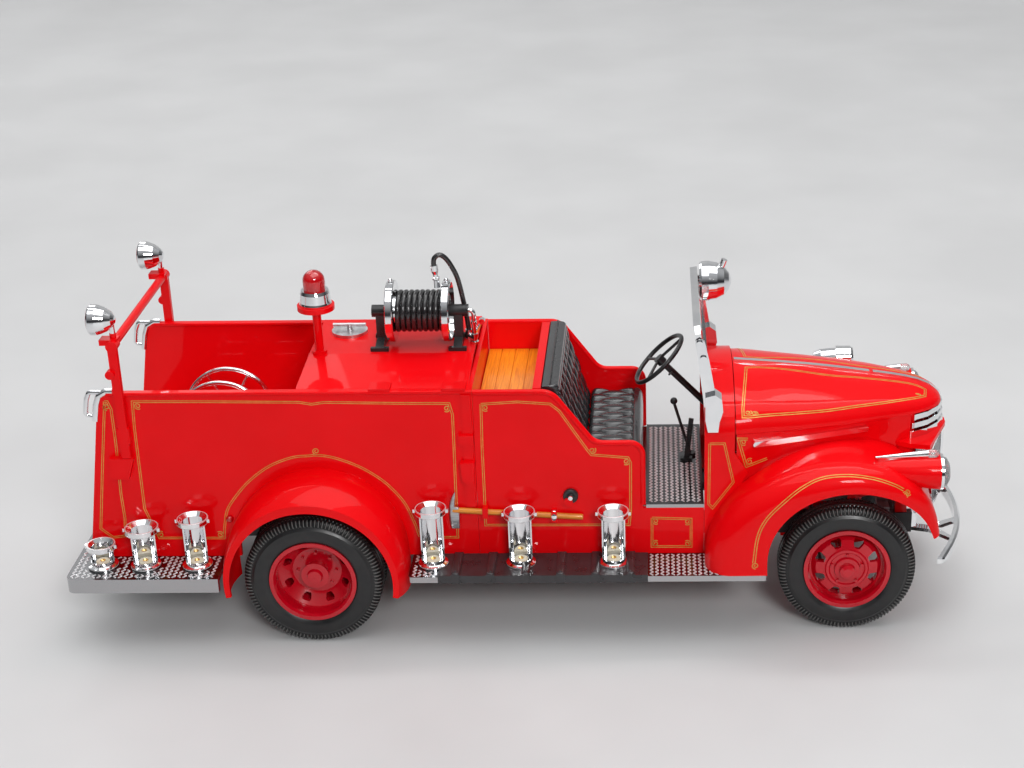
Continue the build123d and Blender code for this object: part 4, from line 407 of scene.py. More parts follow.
# %% Finishes of the solids
FINISH_OF = {
    red_enamel: """knuckle_left knuckle_right front_axle hood cowl nose front_fenders rear_fenders
        hose_body tank_deck wall_hardware cab_sides seat_panel light_bar""",
    rim_red_shaded: "rim_front_left rim_front_right rims_rear_left rims_rear_right",
    frame_black: "frame rear_axle tie_rod",
    engine_grey: "engine radiator",
    tyre_rubber: "tyre_front_left tyre_front_right tyres_rear_left tyres_rear_right",
    chrome: """hood_strip nose_trim lower_grille beacon_drum cups grab_handles reel_flanges
        reel_pipe nozzle bumper lamp_trims siren windshield_frame bed_reel rear_lamps""",
    tread_steel: "running_boards tailboard cab_floor",
    hatch_metal: "tank_hatch",
    red_lens: "beacon_dome",
    clear_lens: "lamp_lenses",
    window_clear: "windshield_glass",
    wood: "wood_floor",
    axe_wood: "axe",
    mat_rubber: "board_mats",
    leather: "seat_cushion seat_back",
    black_plastic: "reel_stands bed_reel_stand steering_wheel driver_controls",
    hose_rubber: "reel_hose hose_tail",
}
for material, names in FINISH_OF.items():
    for node_name in names.split():
        mesh = nodes[node_name].data
        mesh.materials.clear()
        mesh.materials.append(material)
print("finished nodes:", sum(len(n.split()) for n in FINISH_OF.values()), "of", len(nodes))

# %% [markdown]
# ## The free end of the hose
#
# From the reel's boss the small hose rises, makes one loop over the top and
# hangs down to its nozzle. A row of straight tubes would show its joints. Its
# length is known from the model, so it is one spline through a few control
# points, with a round bevel, which bends evenly between them.

# %% Hose curve
HOSE_ROUTE = [(48.1, 5.6, 88.5), (47.7, 5.6, 93.0), (46.9, 5.5, 98.0), (46.2, 5.1, 102.6),
              (45.3, 4.6, 107.2), (43.6, 4.0, 111.2), (42.0, 3.6, 113.9), (40.2, 3.2, 115.2),
              (38.5, 2.8, 114.2), (38.2, 2.7, 112.5), (38.3, 2.65, 111.6)]
HOSE_D = 1.64


def nurbs_cord(name, route, diameter, material):
    """A smooth tube of one open spline through the control points."""
    curve = bpy.data.curves.new(name, "CURVE")
    curve.dimensions = "3D"
    line = curve.splines.new("NURBS")
    line.points.add(len(route) - 1)
    line.points.foreach_set("co", np.c_[at(route), np.ones(len(route))].ravel())
    line.order_u = 3
    line.use_endpoint_u = True
    line.resolution_u = 12
    curve.bevel_depth = diameter / 2000.0       # the tube's radius in metres
    curve.bevel_resolution = 6
    curve.use_fill_caps = True
    curve.materials.append(material)
    obj = bpy.data.objects.new(name, curve)
    bpy.context.scene.collection.objects.link(obj)
    return obj


hose_end = nurbs_cord("free_hose", HOSE_ROUTE, HOSE_D, hose_rubber)
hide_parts("hose_tail")
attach(hose_end, "chassis")
print("hose points", len(HOSE_ROUTE))

# %% [markdown]
# ## Round things
#
# Tyres, screws, discs and lamps are all one profile turned around an axis. The
# Screw modifier does that too, but here the whole turn is one formula, whose
# points can still be moved before they become a mesh. The profile's rows hold a
# height along the axis and a distance from it.

# %% A profile turned around an axis


def turned(profile, centre, axis, count=64, closed=False):
    """Points centre + h k + r (cos a, sin a) across k, for rows (h, r) and the axis k."""
    rows = np.asarray(profile, float)
    k = unit(np.asarray(axis, float))
    side = unit(np.cross(k, (0.0, 0.0, 1.0) if abs(k[2]) < 0.9 else (1.0, 0.0, 0.0)))
    a = np.linspace(0.0, 2 * math.pi, count, endpoint=False)[:, None]
    spoke = np.cos(a) * side + np.sin(a) * np.cross(k, side)
    points = np.asarray(centre) + rows[None, :, :1] * k + rows[None, :, 1:] * spoke[:, None]
    return points, grid_faces(count, len(rows), True, closed)


def repeated(profile, spots, axis, count):
    """The same turned profile at every spot, as one skin."""
    return joined([turned(profile, spot, axis, count) for spot in spots])


def cut_corners(loop):
    """A closed profile with every corner cut at a quarter of its sides."""
    ahead = np.roll(loop, -1, axis=0)
    return np.stack([0.75 * loop + 0.25 * ahead, 0.25 * loop + 0.75 * ahead], axis=1).reshape(-1, 2)


print("helpers: turned, repeated, cut_corners")

# %% [markdown]
# ## Tyres
#
# A tyre's section runs from one bead over the tread to the other bead. The
# shoulder has 110 short notches in each turn, the tread two grooves, and the
# side wall two thin ribs. Cutting 110 boxes out of a ring would leave ragged
# meshes, so all of them are steps and bells added to the turned section.

# %% Tyre section
WHEELBASE = 169.3
AXLE_Z = 21.9
TYRE_HALF = [(3.6, 12.9), (3.75, 13.6), (4.2, 14.2), (4.6, 15.2), (4.85, 16.5), (4.85, 17.7),
             (4.6, 18.7), (4.2, 19.3), (4.22, 19.7), (4.2, 20.2), (4.0, 20.8), (3.7, 21.3),
             (3.3, 21.75), (2.7, 21.9), (1.9, 21.9), (1.3, 21.9), (0.8, 21.9), (0.3, 21.9)]
NOTCHES = 110
NOTCH_DEEP, GROOVE_DEEP, RIB_HIGH = 0.45, 0.45, 0.12
SHOULDER_R, SHOULDER_W = (19.45, 0.3), (2.2, 0.4)       # where the notches begin, and how softly
GROOVE, RIBS = (1.2, 0.3), ((15.4, 0.3), (18.5, 0.3))   # their places and widths
TREAD_R = 21            # the grooves lie beyond this distance from the axle


def bell(t, middle, width):
    """1 at the middle, falling to 1/e a width away on both sides."""
    return np.exp(-((t - middle) / width) ** 2)


def climb(t, start, length):
    """0 up to start, 1 beyond start + length, straight in between."""
    return np.clip((t - start) / length, 0, 1)


def tyre(centre):
    """Section r(w) turned about y, cut where cos(110 a) > 0, with bells for grooves and ribs."""
    half = np.array(TYRE_HALF)
    loop = cut_corners(np.concatenate([half, half[::-1] * (-1, 1)]))
    count = NOTCHES * 4
    points, faces = turned(loop, (0, 0, 0), (0, 1, 0), count, closed=True)
    w, r = loop[:, 0], loop[:, 1]
    a = np.linspace(0.0, 2 * math.pi, count, endpoint=False)[:, None] + math.pi / count
    shoulder = climb(r, *SHOULDER_R) * climb(np.abs(w), *SHOULDER_W)
    notch = NOTCH_DEEP * shoulder * (np.cos(NOTCHES * a) > 0)
    groove = GROOVE_DEEP * bell(np.abs(w), *GROOVE) * (r > TREAD_R) * np.ones_like(a)
    rib = RIB_HIGH * (bell(r, *RIBS[0]) + bell(r, *RIBS[1])) * np.ones_like(a)
    spoke = unit(points * (1, 0, 1))
    points = points - (notch + groove)[..., None] * spoke
    points[..., 1] += np.sign(w) * (rib - 0.6 * notch)
    return points + np.asarray(centre), faces


print("tyre notches:", NOTCHES)

# %% [markdown]
# The ridges between the notches are painted paler: a painted highlight for the
# light their tops catch. That could be a striped pattern in the material, but it
# would have to be lined up with the notches, so the faces on the ridges simply
# wear a second material.

# %% Four sets of tyres
TYRES = [("tyre_front_left", "wheel_front_left", WHEELBASE, (32.2,)),
         ("tyre_front_right", "wheel_front_right", WHEELBASE, (-32.2,)),
         ("tyres_rear_left", "wheels_rear_left", 0.0, (38.2, 28.0)),
         ("tyres_rear_right", "wheels_rear_right", 0.0, (-38.2, -28.0))]
RIDGE_HIGHLIGHT_R = (19.6, 21.7)   # the ridges, between the side wall and the tread
for node_name, body, x, sides in TYRES:
    skin = joined([tyre((x, y, AXLE_Z)) for y in sides])
    made = piece(node_name + "_notched", skin, tyre_rubber, body, smooth=28)
    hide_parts(node_name)
    made.data.materials.append(ridge_highlight_rubber)
    middle = np.empty(len(made.data.polygons) * 3)
    made.data.polygons.foreach_get("center", middle)
    middle = millimetres(middle) - (x, 0.0, AXLE_Z)
    r, a = np.hypot(middle[:, 0], middle[:, 2]), np.arctan2(-middle[:, 2], middle[:, 0])
    # painted highlight: the tops of the ridges wear the paler rubber
    painted_highlight = (r > RIDGE_HIGHLIGHT_R[0]) & (r < RIDGE_HIGHLIGHT_R[1]) & (np.cos(NOTCHES * a - 0.75 * math.pi) > 0.9)
    made.data.polygons.foreach_set("material_index", painted_highlight.astype(np.int32))
    print(node_name, "worn faces", int(painted_highlight.sum()))

# %% [markdown]
# ## The seat
#
# Cushion and back are moulded in hard black plastic as buttoned leather. Cloth
# simulation would sag and crease, which a moulding never does, so each is a
# slab whose top is raised by a formula: its thickness falls to nothing at the
# border on a rounded edge, and two sets of slanted creases leave diamonds.

# %% Shapes of the padding


def spaced(a, b, edge, n):
    """n even places between a and b, with ten closer ones on a rounded edge at each end."""
    bend = edge * (1 - np.cos(np.linspace(0, math.pi / 2, 10)))
    return np.r_[a + bend, np.linspace(a + edge, b - edge, n)[1:-1], b - bend[::-1]]


def edge_fall(t, a, b, edge):
    """0 at both ends of a to b, 1 from edge onwards, on a rounded square curve."""
    d = np.clip(np.minimum(t - a, b - t) / edge, 0, 1)
    return (1 - (1 - d) ** 2.6) ** (1 / 2.6)


def tufts(u, v, long, wide, depth):
    """Diamonds: creases where u/long + v/wide or u/long - v/wide is whole, a button where both."""
    a = np.abs(np.sin(math.pi * (u / long + v / wide)))
    b = np.abs(np.sin(math.pi * (u / long - v / wide)))
    return depth * ((a * b) ** 0.4 - 1.0) - 0.5 * depth * np.exp(-(a * a + b * b) / 0.06)


def slab(u, v, thick, origin, e, n):
    """A closed slab: top at origin + u e + v y + thick n, underside at thickness nought."""
    flat = np.asarray(origin) + u[..., None] * np.asarray(e) + v[..., None] * (0.0, 1.0, 0.0)
    faces = grid_faces(*u.shape)
    return joined([(flat + thick[..., None] * np.asarray(n), faces), (flat, faces)])


DIAMOND = (12.4, 6.1)   # along the seat's depth and across it
print("diamond", DIAMOND)

# %% [markdown]
# The cushion lies flat, and its front edge is a plain roll with one seam. The
# back leans, and has a plain band at its top, where a thin round piping runs.

# %% Cushion, back and piping
SEAT_Z = 52.5
CUSHION_X, CUSHION_Y = (86.5, 104.5, 2.0), (-28.3, 28.3, 1.6)      # from, to, rounded edge
CUSHION_HIGH, CUSHION_TUFT = 5.5, 1.55
FIRST_CREASE, ROLL_X, SEAM_X = 88.3, 100.6, 101.2
x, y = np.meshgrid(spaced(*CUSHION_X, 90), spaced(*CUSHION_Y, 230), indexing="ij")
roll = climb(x, ROLL_X, 0.8)
rise = CUSHION_HIGH + (1 - roll) * tufts(x - FIRST_CREASE, y, *DIAMOND, CUSHION_TUFT)
rise -= 0.6 * bell(x, SEAM_X, 0.28)
rise *= edge_fall(x, *CUSHION_X) * edge_fall(y, *CUSHION_Y)
skin = slab(x, y, rise, (0, 0, SEAT_Z), (1, 0, 0), (0, 0, 1))
cushion = piece("cushion_tufted", skin, leather, smooth=80)

BACK_FOOT = np.array([80.6, 0, SEAT_Z])
BACK_S, BACK_Y = (0.0, 30.6, 1.8), (-27.7, 27.7, 1.4)
BACK_HIGH, BACK_THINS, BACK_TUFT = 6.6, 1.73, 1.4
BAND_S, BAND_SEAMS = 26.4, ((0.5, 26.9, 0.22), (0.4, 28.3, 0.2))    # a seam's depth, place and width
lean = unit(np.array([-6.8, 0.0, 28.9]))
face = np.array([lean[2], 0.0, -lean[0]])
s, y = np.meshgrid(spaced(*BACK_S, 110), spaced(*BACK_Y, 220), indexing="ij")
band = climb(s, BAND_S, 0.5)
rise = BACK_HIGH - BACK_THINS * climb(s, 4.5, 24.0) + (1 - band) * tufts(s - 2.0, y, *DIAMOND, BACK_TUFT)
rise -= sum(deep * bell(s, place, width) for deep, place, width in BAND_SEAMS)
rise *= edge_fall(s, *BACK_S) * edge_fall(y, *BACK_Y)
back = piece("seat_back_tufted", slab(s, y, rise, BACK_FOOT, lean, face), leather,
             smooth=80)
PIPING = [(0, 0), (0, 0.2), (0.2, 0.28), (54.0, 0.28), (54.2, 0.2), (54.2, 0)]
seam = (BACK_FOOT + 30.62 * lean + 2.5 * face) * (1, 0, 1)
piece("seat_piping", turned(PIPING, seam - (0, 27.1, 0), (0, 1, 0), 12), black_plastic)
for made, node_name in ((cushion, "seat_cushion"), (back, "seat_back")):
    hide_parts(node_name)

# %% [markdown]
# ## Tread plate
#
# The boards, the tailboard and the cab floor are covered with short bars in a
# staggered pattern, each slanted the other way from its neighbours. A bump map
# would leave the edges of the boards flat and catch no light from the side.
# So each bar is a small hipped roof of six faces, and one array holds them all.

# %% Tread bars
FLOOR_Z, BOARD_Z = 42.5, 25.0       # cab floor; running boards and tailboard
PITCH_X, PITCH_Y = 1.7, 2.1
BAR_FOOT, BAR_CREST = (0.72, 0.24, -0.02), (0.5, 0.1, 0.22)    # half length, half width, height
CUP_Y, CUP_BARE = 36.6, 5.6         # the cups' row, and how far round them the plate is bare
CUPS = [(37.8, 45.0, 5.0), (65.7, 43.6, 5.0), (95.2, 43.6, 5.0),
        (-67.6, 33.0, 4.5), (-54.0, 38.9, 5.3), (-37.5, 42.0, 4.9)]     # x, top, radius of the rim
CORNERS = [(-1, -1), (1, -1), (1, 1), (-1, 1)]


def box_faces(count):
    """The six faces of each of count boxes, whose points go round the foot and then the top."""
    side = np.array([(0, 1, 5, 4), (1, 2, 6, 5), (2, 3, 7, 6), (3, 0, 4, 7), (3, 2, 1, 0), (4, 5, 6, 7)])
    return (side + 8 * np.arange(count)[:, None, None]).reshape(-1, 4)


def tread(x0, x1, y0, y1, top, bare):
    """Hipped bars on every place of a staggered grid, turned by +45 or -45 degrees in turn."""
    across = np.arange(int((x1 - x0) / PITCH_X))
    i, j = np.meshgrid(across, np.arange(int((y1 - y0) / PITCH_Y * 2)), indexing="ij")
    spot = np.stack([x0 + (i + 0.5) * PITCH_X, y0 + (j + 0.5) * PITCH_Y / 2], -1).reshape(-1, 2)
    way = np.where((i + j) % 2, 1.0, -1.0).reshape(-1)
    cups = np.array([(x, s * CUP_Y) for x, *_ in CUPS for s in (-1, 1)])
    far = np.linalg.norm(spot[:, None] - cups, axis=-1).min(axis=1) > CUP_BARE
    keep = far & ~bare(spot)
    spot, way = spot[keep], way[keep]
    shape = np.array([(sx * l, sy * w, h) for l, w, h in (BAR_FOOT, BAR_CREST) for sx, sy in CORNERS])
    c = math.sqrt(0.5)
    x = spot[:, :1] + c * (shape[:, 0] - way[:, None] * shape[:, 1])
    y = spot[:, 1:] + c * (way[:, None] * shape[:, 0] + shape[:, 1])
    points = np.stack(np.broadcast_arrays(x, y, top + shape[:, 2]), axis=-1)
    return points, box_faces(len(points))


print("pitch", PITCH_X, PITCH_Y)

# %% [markdown]
# A sheet of bars is laid over each board, and left bare where something else
# covers the plate: under the mats, under the body and around the levers.

# %% Treaded boards


def under_mat(spot):
    """True on the part of a running board that the mat covers."""
    return (spot[:, 0] > 39.0) & (spot[:, 0] < 107.0)


def under_body(spot):
    """True on the part of the tailboard that the body stands on."""
    return (np.abs(spot[:, 1]) < 30.6) & (spot[:, 0] > -74.5)


def round_levers(spot):
    """True around the levers' foot in the cab."""
    return (np.abs(spot[:, 0] - 119.4) < 2.9) & (np.abs(spot[:, 1] - 4.2) < 4.2)


boards = joined([tread(31.5, 142.5, s * 38.0 - 6.9, s * 38.0 + 6.9, BOARD_Z, under_mat) for s in (-1, 1)])
piece("tread_boards", boards, tread_bright)
tail = tread(-76.6, -30.0, -44.6, 44.6, BOARD_Z, under_body)
piece("tread_tail", tail, tread_bright)
cab = tread(106.2, 123.4, -28.6, 28.6, FLOOR_Z, round_levers)
piece("tread_cab", cab, tread_bright)

# %% [markdown]
# ## Gold lines
#
# The bodywork is lined in gold: pairs of thin stripes that follow each panel,
# with small scrolls in the corners. They could be drawn in the paint's
# material, but a line that turns corners needs a map of the panel. So each
# stripe is a very flat bar along a row of points. The rows come first: one
# helper smooths a row, one fills up its long runs, and one winds it to a scroll.

# %% Rows of points


def rounded(points, n=8):
    """A smooth row through the points: each run is the cubic of its four neighbours, in n steps."""
    p = np.asarray(points, float)
    p = np.vstack([2 * p[0] - p[1], p, 2 * p[-1] - p[-2]])
    a, b, c, d = (p[k:len(p) - 3 + k, None] for k in range(4))
    t = np.arange(n)[:, None] / n
    cubic = (c - a) * t + (2 * a - 5 * b + 4 * c - d) * t ** 2 + (3 * b - a - 3 * c + d) * t ** 3
    return np.vstack([(b + 0.5 * cubic).reshape(-1, p.shape[1]), p[-2:-1]])


def stretched(points, step=1.5, closed=False):
    """A row of points with more of them on its long runs."""
    p = np.asarray(points, float)
    p = np.vstack([p, p[:1]]) if closed else p
    marks = np.r_[0, np.cumsum(np.linalg.norm(np.diff(p, axis=0), axis=1))]
    fine = np.unique(np.r_[marks, np.arange(0, marks[-1], step)])
    fine = fine[np.r_[True, np.diff(fine) > 0.05]]
    return np.stack([np.interp(fine, marks, p[:, k]) for k in range(3)], axis=-1)


def scroll(x, z, way, flip=1):
    """A spiral row (x, z): its distance grows evenly from 0.25 to 1.15 mm in one and a half turns."""
    a = np.linspace(0, 3 * math.pi, 40)
    r = 0.25 + 0.9 * a / a[-1]
    return list(zip(x + r * np.cos(way + flip * a), z + r * np.sin(way + flip * a)))


print("helpers: rounded, stretched, scroll")

# %% [markdown]
# A bar follows its row with both edges at the same distance. At a corner that
# distance grows by one over the cosine of half the turn, the mitre of a picture
# frame, or the stripe would get thin there. Its ends are shut by a single point.

# %% Bars along a row
STRIPE_HIGH = 0.07      # how far a stripe stands off the paint


def stripe(line, normal, offset, width=0.26):
    """Both edges of a stripe along a line, its middle offset sideways, mitred at corners."""
    ahead = unit(np.diff(line, axis=0))
    before, after = np.vstack([ahead[:1], ahead]), np.vstack([ahead, ahead[-1:]])
    along = unit(before + after)
    side = unit(np.cross(normal, along))
    mitre = 1 / np.maximum(np.sum(along * before, axis=-1, keepdims=True), 0.5)
    return [line + side * mitre * (offset + k * width / 2) for k in (-1, 1)]


def closed_bar(low_a, low_b, top_b, top_a):
    """A tube of four edges from its four corner rows, with both ends shut."""
    rows = np.stack([low_a, low_b, top_b, top_a], axis=1)
    ends = [np.broadcast_to(r.mean(axis=0), (1, 4, 3)) for r in (rows[0], rows[-1])]
    rows = np.concatenate([ends[0], rows, ends[1]])
    return rows, grid_faces(len(rows), 4, False, True)


print("stripe height", STRIPE_HIGH)

# %% [markdown]
# ### Lines on the flat walls
#
# The walls are flat, so an outline is enough: its points (x, z) lie on the
# wall, and the same points on the other wall give the twin. The hose body has a
# frame and an arc over the wheel, the rear quarter, the cab side, the step and
# the cowl have closed loops.

# %% Wall lines
WALL_Y = 30.4           # outer face of the body walls
BODY_FRAME = [(-29.2, 35.7), (-29.8, 31.4), (-50.6, 31.6), (-54.1, 42.2), (-54.0, 56.3), (-53.9, 70.1),
              (-53.5, 79.4), (-29.5, 79.2), (-1.8, 78.8), (2.1, 78.1), (6.0, 78.7), (29.1, 78.2),
              (44.8, 78.0), (45.7, 74.3), (45.6, 63.2), (45.4, 50.4), (45.2, 31.2), (33.4, 31.2)]
WHEEL_ARC = [(-29.2, 35.7), (-27.9, 41.1), (-25.2, 45.5), (-19.9, 51.6), (-13.1, 56.8), (-5.7, 59.8),
             (-0.2, 60.4), (2.2, 60.6), (7.6, 59.7), (15.2, 56.6), (21.7, 52.2), (25.7, 48.1),
             (29.1, 43.2), (31.6, 36.6), (33.0, 31.5)]
QUARTER = [(-62.2, 79.5), (-61.3, 79.5), (-60.4, 76.9), (-60.4, 65.0), (-61.0, 47.5), (-60.8, 38.6),
           (-61.5, 32.4), (-65.4, 31.9), (-69.0, 35.1), (-66.3, 52.8), (-63.6, 70.1), (-62.5, 76.9)]
CAB_SIDE = [(54.7, 77.7), (66.1, 78.4), (76.1, 77.6), (78.9, 75.2), (87.1, 62.1), (88.5, 60.1), (100.0, 59.0),
            (100.8, 57.2), (100.6, 40.2), (100.1, 35.3), (54.3, 35.5), (54.4, 47.1), (54.4, 63.2)]
STEP = [(107.4, 37.7), (119.8, 37.2), (119.8, 27.3), (107.3, 27.4)]
COWL_SIDE = [(125.6, 63.6), (130.2, 63.6), (133.1, 50.2), (126.6, 41.1), (125.4, 42.5), (125.5, 55.1)]
SCROLLS = [(-52.0, 77.9, 2.2, 1), (44.0, 76.3, 0.9, -1), (2.2, 62.0, 1.6, 1), (55.9, 76.4, 2.2, 1),
           (99.5, 57.6, 0.9, -1), (88.9, 61.6, 3.9, 1), (108.5, 36.5, 2.2, 1), (118.7, 36.2, 0.9, -1),
           (108.4, 28.5, 4.0, -1), (118.7, 28.4, 5.4, 1), (-61.8, 77.6, 1.6, 1), (-30.9, 32.7, 5.4, 1),
           (-50.0, 32.9, 4.0, -1)]       # x, z, angle at the middle, sense


def flat_stripes(outline, closed=False, pair=(-0.28, 0.28), width=0.2):
    """A pair of stripes on the right wall from (x, z) points, and their twins on the left."""
    line = stretched([(x, -WALL_Y, z) for x, z in outline], closed=closed)
    out = []
    for s in (1, -1):
        here, normal = line * (1, s, 1), np.array([0.0, -s, 0.0])
        for offset in pair:
            a, b = stripe(here, normal, offset, width)
            out.append(closed_bar(a, b, b + STRIPE_HIGH * normal, a + STRIPE_HIGH * normal))
    return out


wall_lines = flat_stripes(BODY_FRAME) + flat_stripes(rounded(WHEEL_ARC))
for outline in (QUARTER, CAB_SIDE, STEP, COWL_SIDE):
    wall_lines += flat_stripes(outline, closed=True)
for spot in SCROLLS:
    wall_lines += flat_stripes(scroll(*spot), pair=(0.0,), width=0.28)
piece("stripes_body", joined(wall_lines), gold)

# %% [markdown]
# ### Lines on the curved castings
#
# On the hood, the fenders and the nose no flat outline lies on the paint. Each
# row is given near the surface, and a Shrinkwrap modifier moves it to the
# nearest place on the casting. Two heights above it give the normal there,
# and the four edges of the bar are settled once more, each at its own height.

# %% Rows settled on a casting


def settled(points, node_name, lift):
    """The points moved to the nearest place on a node, lift mm above it."""
    probe = bpy.data.objects.new("probe", bpy.data.meshes.new("probe"))
    probe.data.from_pydata(at(points).tolist(), [], [])
    bpy.context.scene.collection.objects.link(probe)
    wrap = probe.modifiers.new("wrap", "SHRINKWRAP")
    wrap.target, wrap.wrap_mode, wrap.offset = nodes[node_name], "ABOVE_SURFACE", lift / 1000
    bpy.context.view_layer.update()
    moved = probe.evaluated_get(bpy.context.evaluated_depsgraph_get()).to_mesh()
    out = np.empty(len(moved.vertices) * 3)
    moved.vertices.foreach_get("co", out)
    bpy.data.objects.remove(probe)
    return millimetres(out)


def wrapped_stripes(points, node_name, closed=False, pair=(-0.32, 0.32)):
    """A pair of stripes settled on a curved node, and their twins on the other side."""
    line = stretched(points, 1.2, closed)
    out = []
    for s in (1, -1):
        here = settled(line * (1, s, 1), node_name, 0.0)
        normal = unit(settled(here, node_name, 0.3) - here)
        for offset in pair:
            edges = stripe(here, normal, offset)
            low = [settled(row, node_name, -0.02) for row in edges]
            top = [settled(row, node_name, STRIPE_HIGH) for row in edges]
            out.append(closed_bar(*low, *top[::-1]))
    return out


def scrolls_on(node_name, spots):
    """Spirals at (x, y, z, angle, sense), settled on a curved node."""
    rows = [[(a, y, b) for a, b in scroll(x, z, way, flip)] for x, y, z, way, flip in spots]
    return [bar for row in rows for bar in wrapped_stripes(row, node_name, pair=(0.0,))]


print("helpers: settled, wrapped_stripes, scrolls_on")

# %% [markdown]
# Each front fender has one line along its crown, the hood a closed loop on
# each side, and the nose a small panel below the hood. The hood's stripes ride
# on the hood, so they open with it.

# %% Lines on fenders, hood and nose
FENDER_OUT = [(139.2, -45.7, 29.5), (140.3, -45.8, 38.7), (142.9, -45.8, 44.8), (147.7, -45.6, 50.2),
              (153.7, -44.7, 55.1), (159.8, -43.7, 57.8), (167.6, -43.6, 58.6), (175.5, -43.6, 57.5),
              (181.7, -43.3, 55.2), (184.9, -43.0, 53.3)]
FENDER_SCROLLS = [(186.4, -42.6, 52.4, 2.4, 1), (185.4, -42.8, 51.6, 5.5, 1), (139.6, -45.6, 28.6, 1.6, 1)]
HOOD_LOW = [(138.6, -26.4, 70.9), (144.3, -25.3, 71.0), (161.3, -21.9, 70.7), (172.8, -18.7, 70.9),
            (182.6, -15.3, 70.7), (191.3, -11.2, 70.2), (195.5, -8.4, 69.8)]
HOOD_TOP = [(195.9, -5.0, 70.5), (192.1, -4.3, 72.0), (183.7, -4.8, 73.7), (174.0, -5.2, 75.0),
            (162.5, -6.1, 76.5), (144.1, -4.2, 78.2), (138.0, -4.7, 78.5)]
HOOD_REAR = [(136.9, -16.8, 76.2), (136.1, -24.8, 72.9), (136.1, -26.6, 71.0)]
HOOD_SCROLLS = [(137.9, -26.3, 72.8, 4.0, 1), (139.9, -26.2, 72.3, 2.4, -1), (193.6, -9.0, 71.0, 0.9, 1)]
PANEL = [(143.8, -27.3, 56.9), (137.2, -28.4, 54.7), (134.6, -28.9, 64.5), (137.6, -28.5, 64.2)]
PANEL_SCROLLS = [(136.2, -28.6, 63.2, 2.2, 1), (138.2, -28.2, 56.4, 4.0, -1)]

fender = wrapped_stripes(rounded(FENDER_OUT), "front_fenders", pair=(-0.22, 0.50))
piece("stripes_fenders", joined(fender + scrolls_on("front_fenders", FENDER_SCROLLS)), gold)
hood_loop = np.vstack([rounded(HOOD_LOW), rounded(HOOD_TOP), HOOD_REAR])
hood = wrapped_stripes(hood_loop, "hood", closed=True) + scrolls_on("hood", HOOD_SCROLLS)
piece("stripes_hood", joined(hood), gold, "hood")
panel = wrapped_stripes(PANEL, "nose") + scrolls_on("nose", PANEL_SCROLLS)
piece("stripes_panel", joined(panel), gold)

# %% [markdown]
# ## The wound hose
#
# The hose lies on its drum in nine turns. Nine rings side by side would look
# nearly the same, but the real one is a single helix that leans a little in
# each turn, and its two parameters are just as easy: the angle along the helix
# and the angle round the hose.

# %% Coil
REEL_X, REEL_AXIS = (25.2, 40.9), (2.0, 96.5)       # between the flanges; y and z of the axis
WIND_R, WOUND_HOSE_R, TURNS = 6.02, 0.85, 9
HOSE_SIDES = 14         # points round the hose


def coil(span, centre, radius, thick, turns):
    """A tube whose middle is (x, y + R sin a, z + R cos a), with x growing evenly with a."""
    a = np.linspace(0, 2 * math.pi * turns, turns * 72)[:, None]
    spoke = np.concatenate([0 * a, np.sin(a), np.cos(a)], axis=1)
    x = span[0] + (span[1] - span[0]) * a / a[-1]
    middle = spoke * radius + (0, *centre) + x * (1.0, 0.0, 0.0)
    along = unit(np.gradient(middle, axis=0))
    b = np.linspace(0, 2 * math.pi, HOSE_SIDES, endpoint=False)[None, :, None]
    ring = np.cos(b) * spoke[:, None] + np.sin(b) * np.cross(along, spoke)[:, None]
    size = np.r_[0.0, np.ones(len(a) - 2), 0.0][:, None, None]
    return middle[:, None] + thick * size * ring, grid_faces(len(a), HOSE_SIDES, False, True)


skin = coil(REEL_X, REEL_AXIS, WIND_R, WOUND_HOSE_R, TURNS)
wound = piece("wound_hose", skin, hose_rubber, smooth=60)
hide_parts("reel_hose")

# %% [markdown]
# ## The axe
#
# A wooden handle with a steel head hangs on the wall in a plated clip. The head
# could be a box with moved corners, but it thins towards both ends and its two
# edges curve, so they are tables along its height, and so is its thickness.

# %% Handle and head
AXE_Y = -31.7
start, end = np.array([44.2, AXE_Y, 41.65]), np.array([85.5, AXE_Y, 38.9])
length = float(np.linalg.norm(end - start))
grip = [(0, 0), (0, 0.8), (0.4, 0.92), (length - 3, 0.92), (length - 0.6, 0.95), (length, 0.8), (length, 0)]
handle = piece("axe_handle", turned(grip, start, end - start, 24), axe_wood)
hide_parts("axe")

HEAD_Z = (47.9, 35.2)
BACK_EDGE = [(47.9, 45.1), (46.5, 44.3), (45.0, 43.7), (43.5, 43.3), (42.0, 43.15), (40.0, 43.1),
             (37.0, 43.2), (35.2, 43.6)]
FRONT_EDGE = [(47.9, 45.3), (46.5, 45.2), (45.0, 45.0), (42.9, 44.9), (42.7, 46.4), (40.0, 46.4),
              (37.0, 46.3), (35.2, 46.2)]
HALF_THICK = [(47.9, 0.05), (46.0, 0.4), (42.5, 0.75), (38.5, 0.7), (35.2, 0.2)]


def downwards(z, table):
    """A value that runs straight between the rows (z, value) of a table, top row first."""
    level, value = np.array(table).T
    return np.interp(-z, -level, value)


z = np.linspace(*HEAD_Z, 60)[:, None]
u = np.linspace(0, 1, 16)[None, :]
rear, front = downwards(z, BACK_EDGE), downwards(z, FRONT_EDGE)
half = downwards(z, HALF_THICK) * (1 - (2 * u - 1) ** 8) ** 0.5
cheeks = [np.stack(np.broadcast_arrays(rear + (front - rear) * u, AXE_Y + k * half, z), axis=-1)
          for k in (-1, 1)]
head = piece("axe_head", joined([(p, grid_faces(60, 16)) for p in cheeks]), axe_steel)
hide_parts("axe")

# %% [markdown]
# The clip is a short sleeve round the handle, taller than wide, and pressed
# flat where it meets the wall.

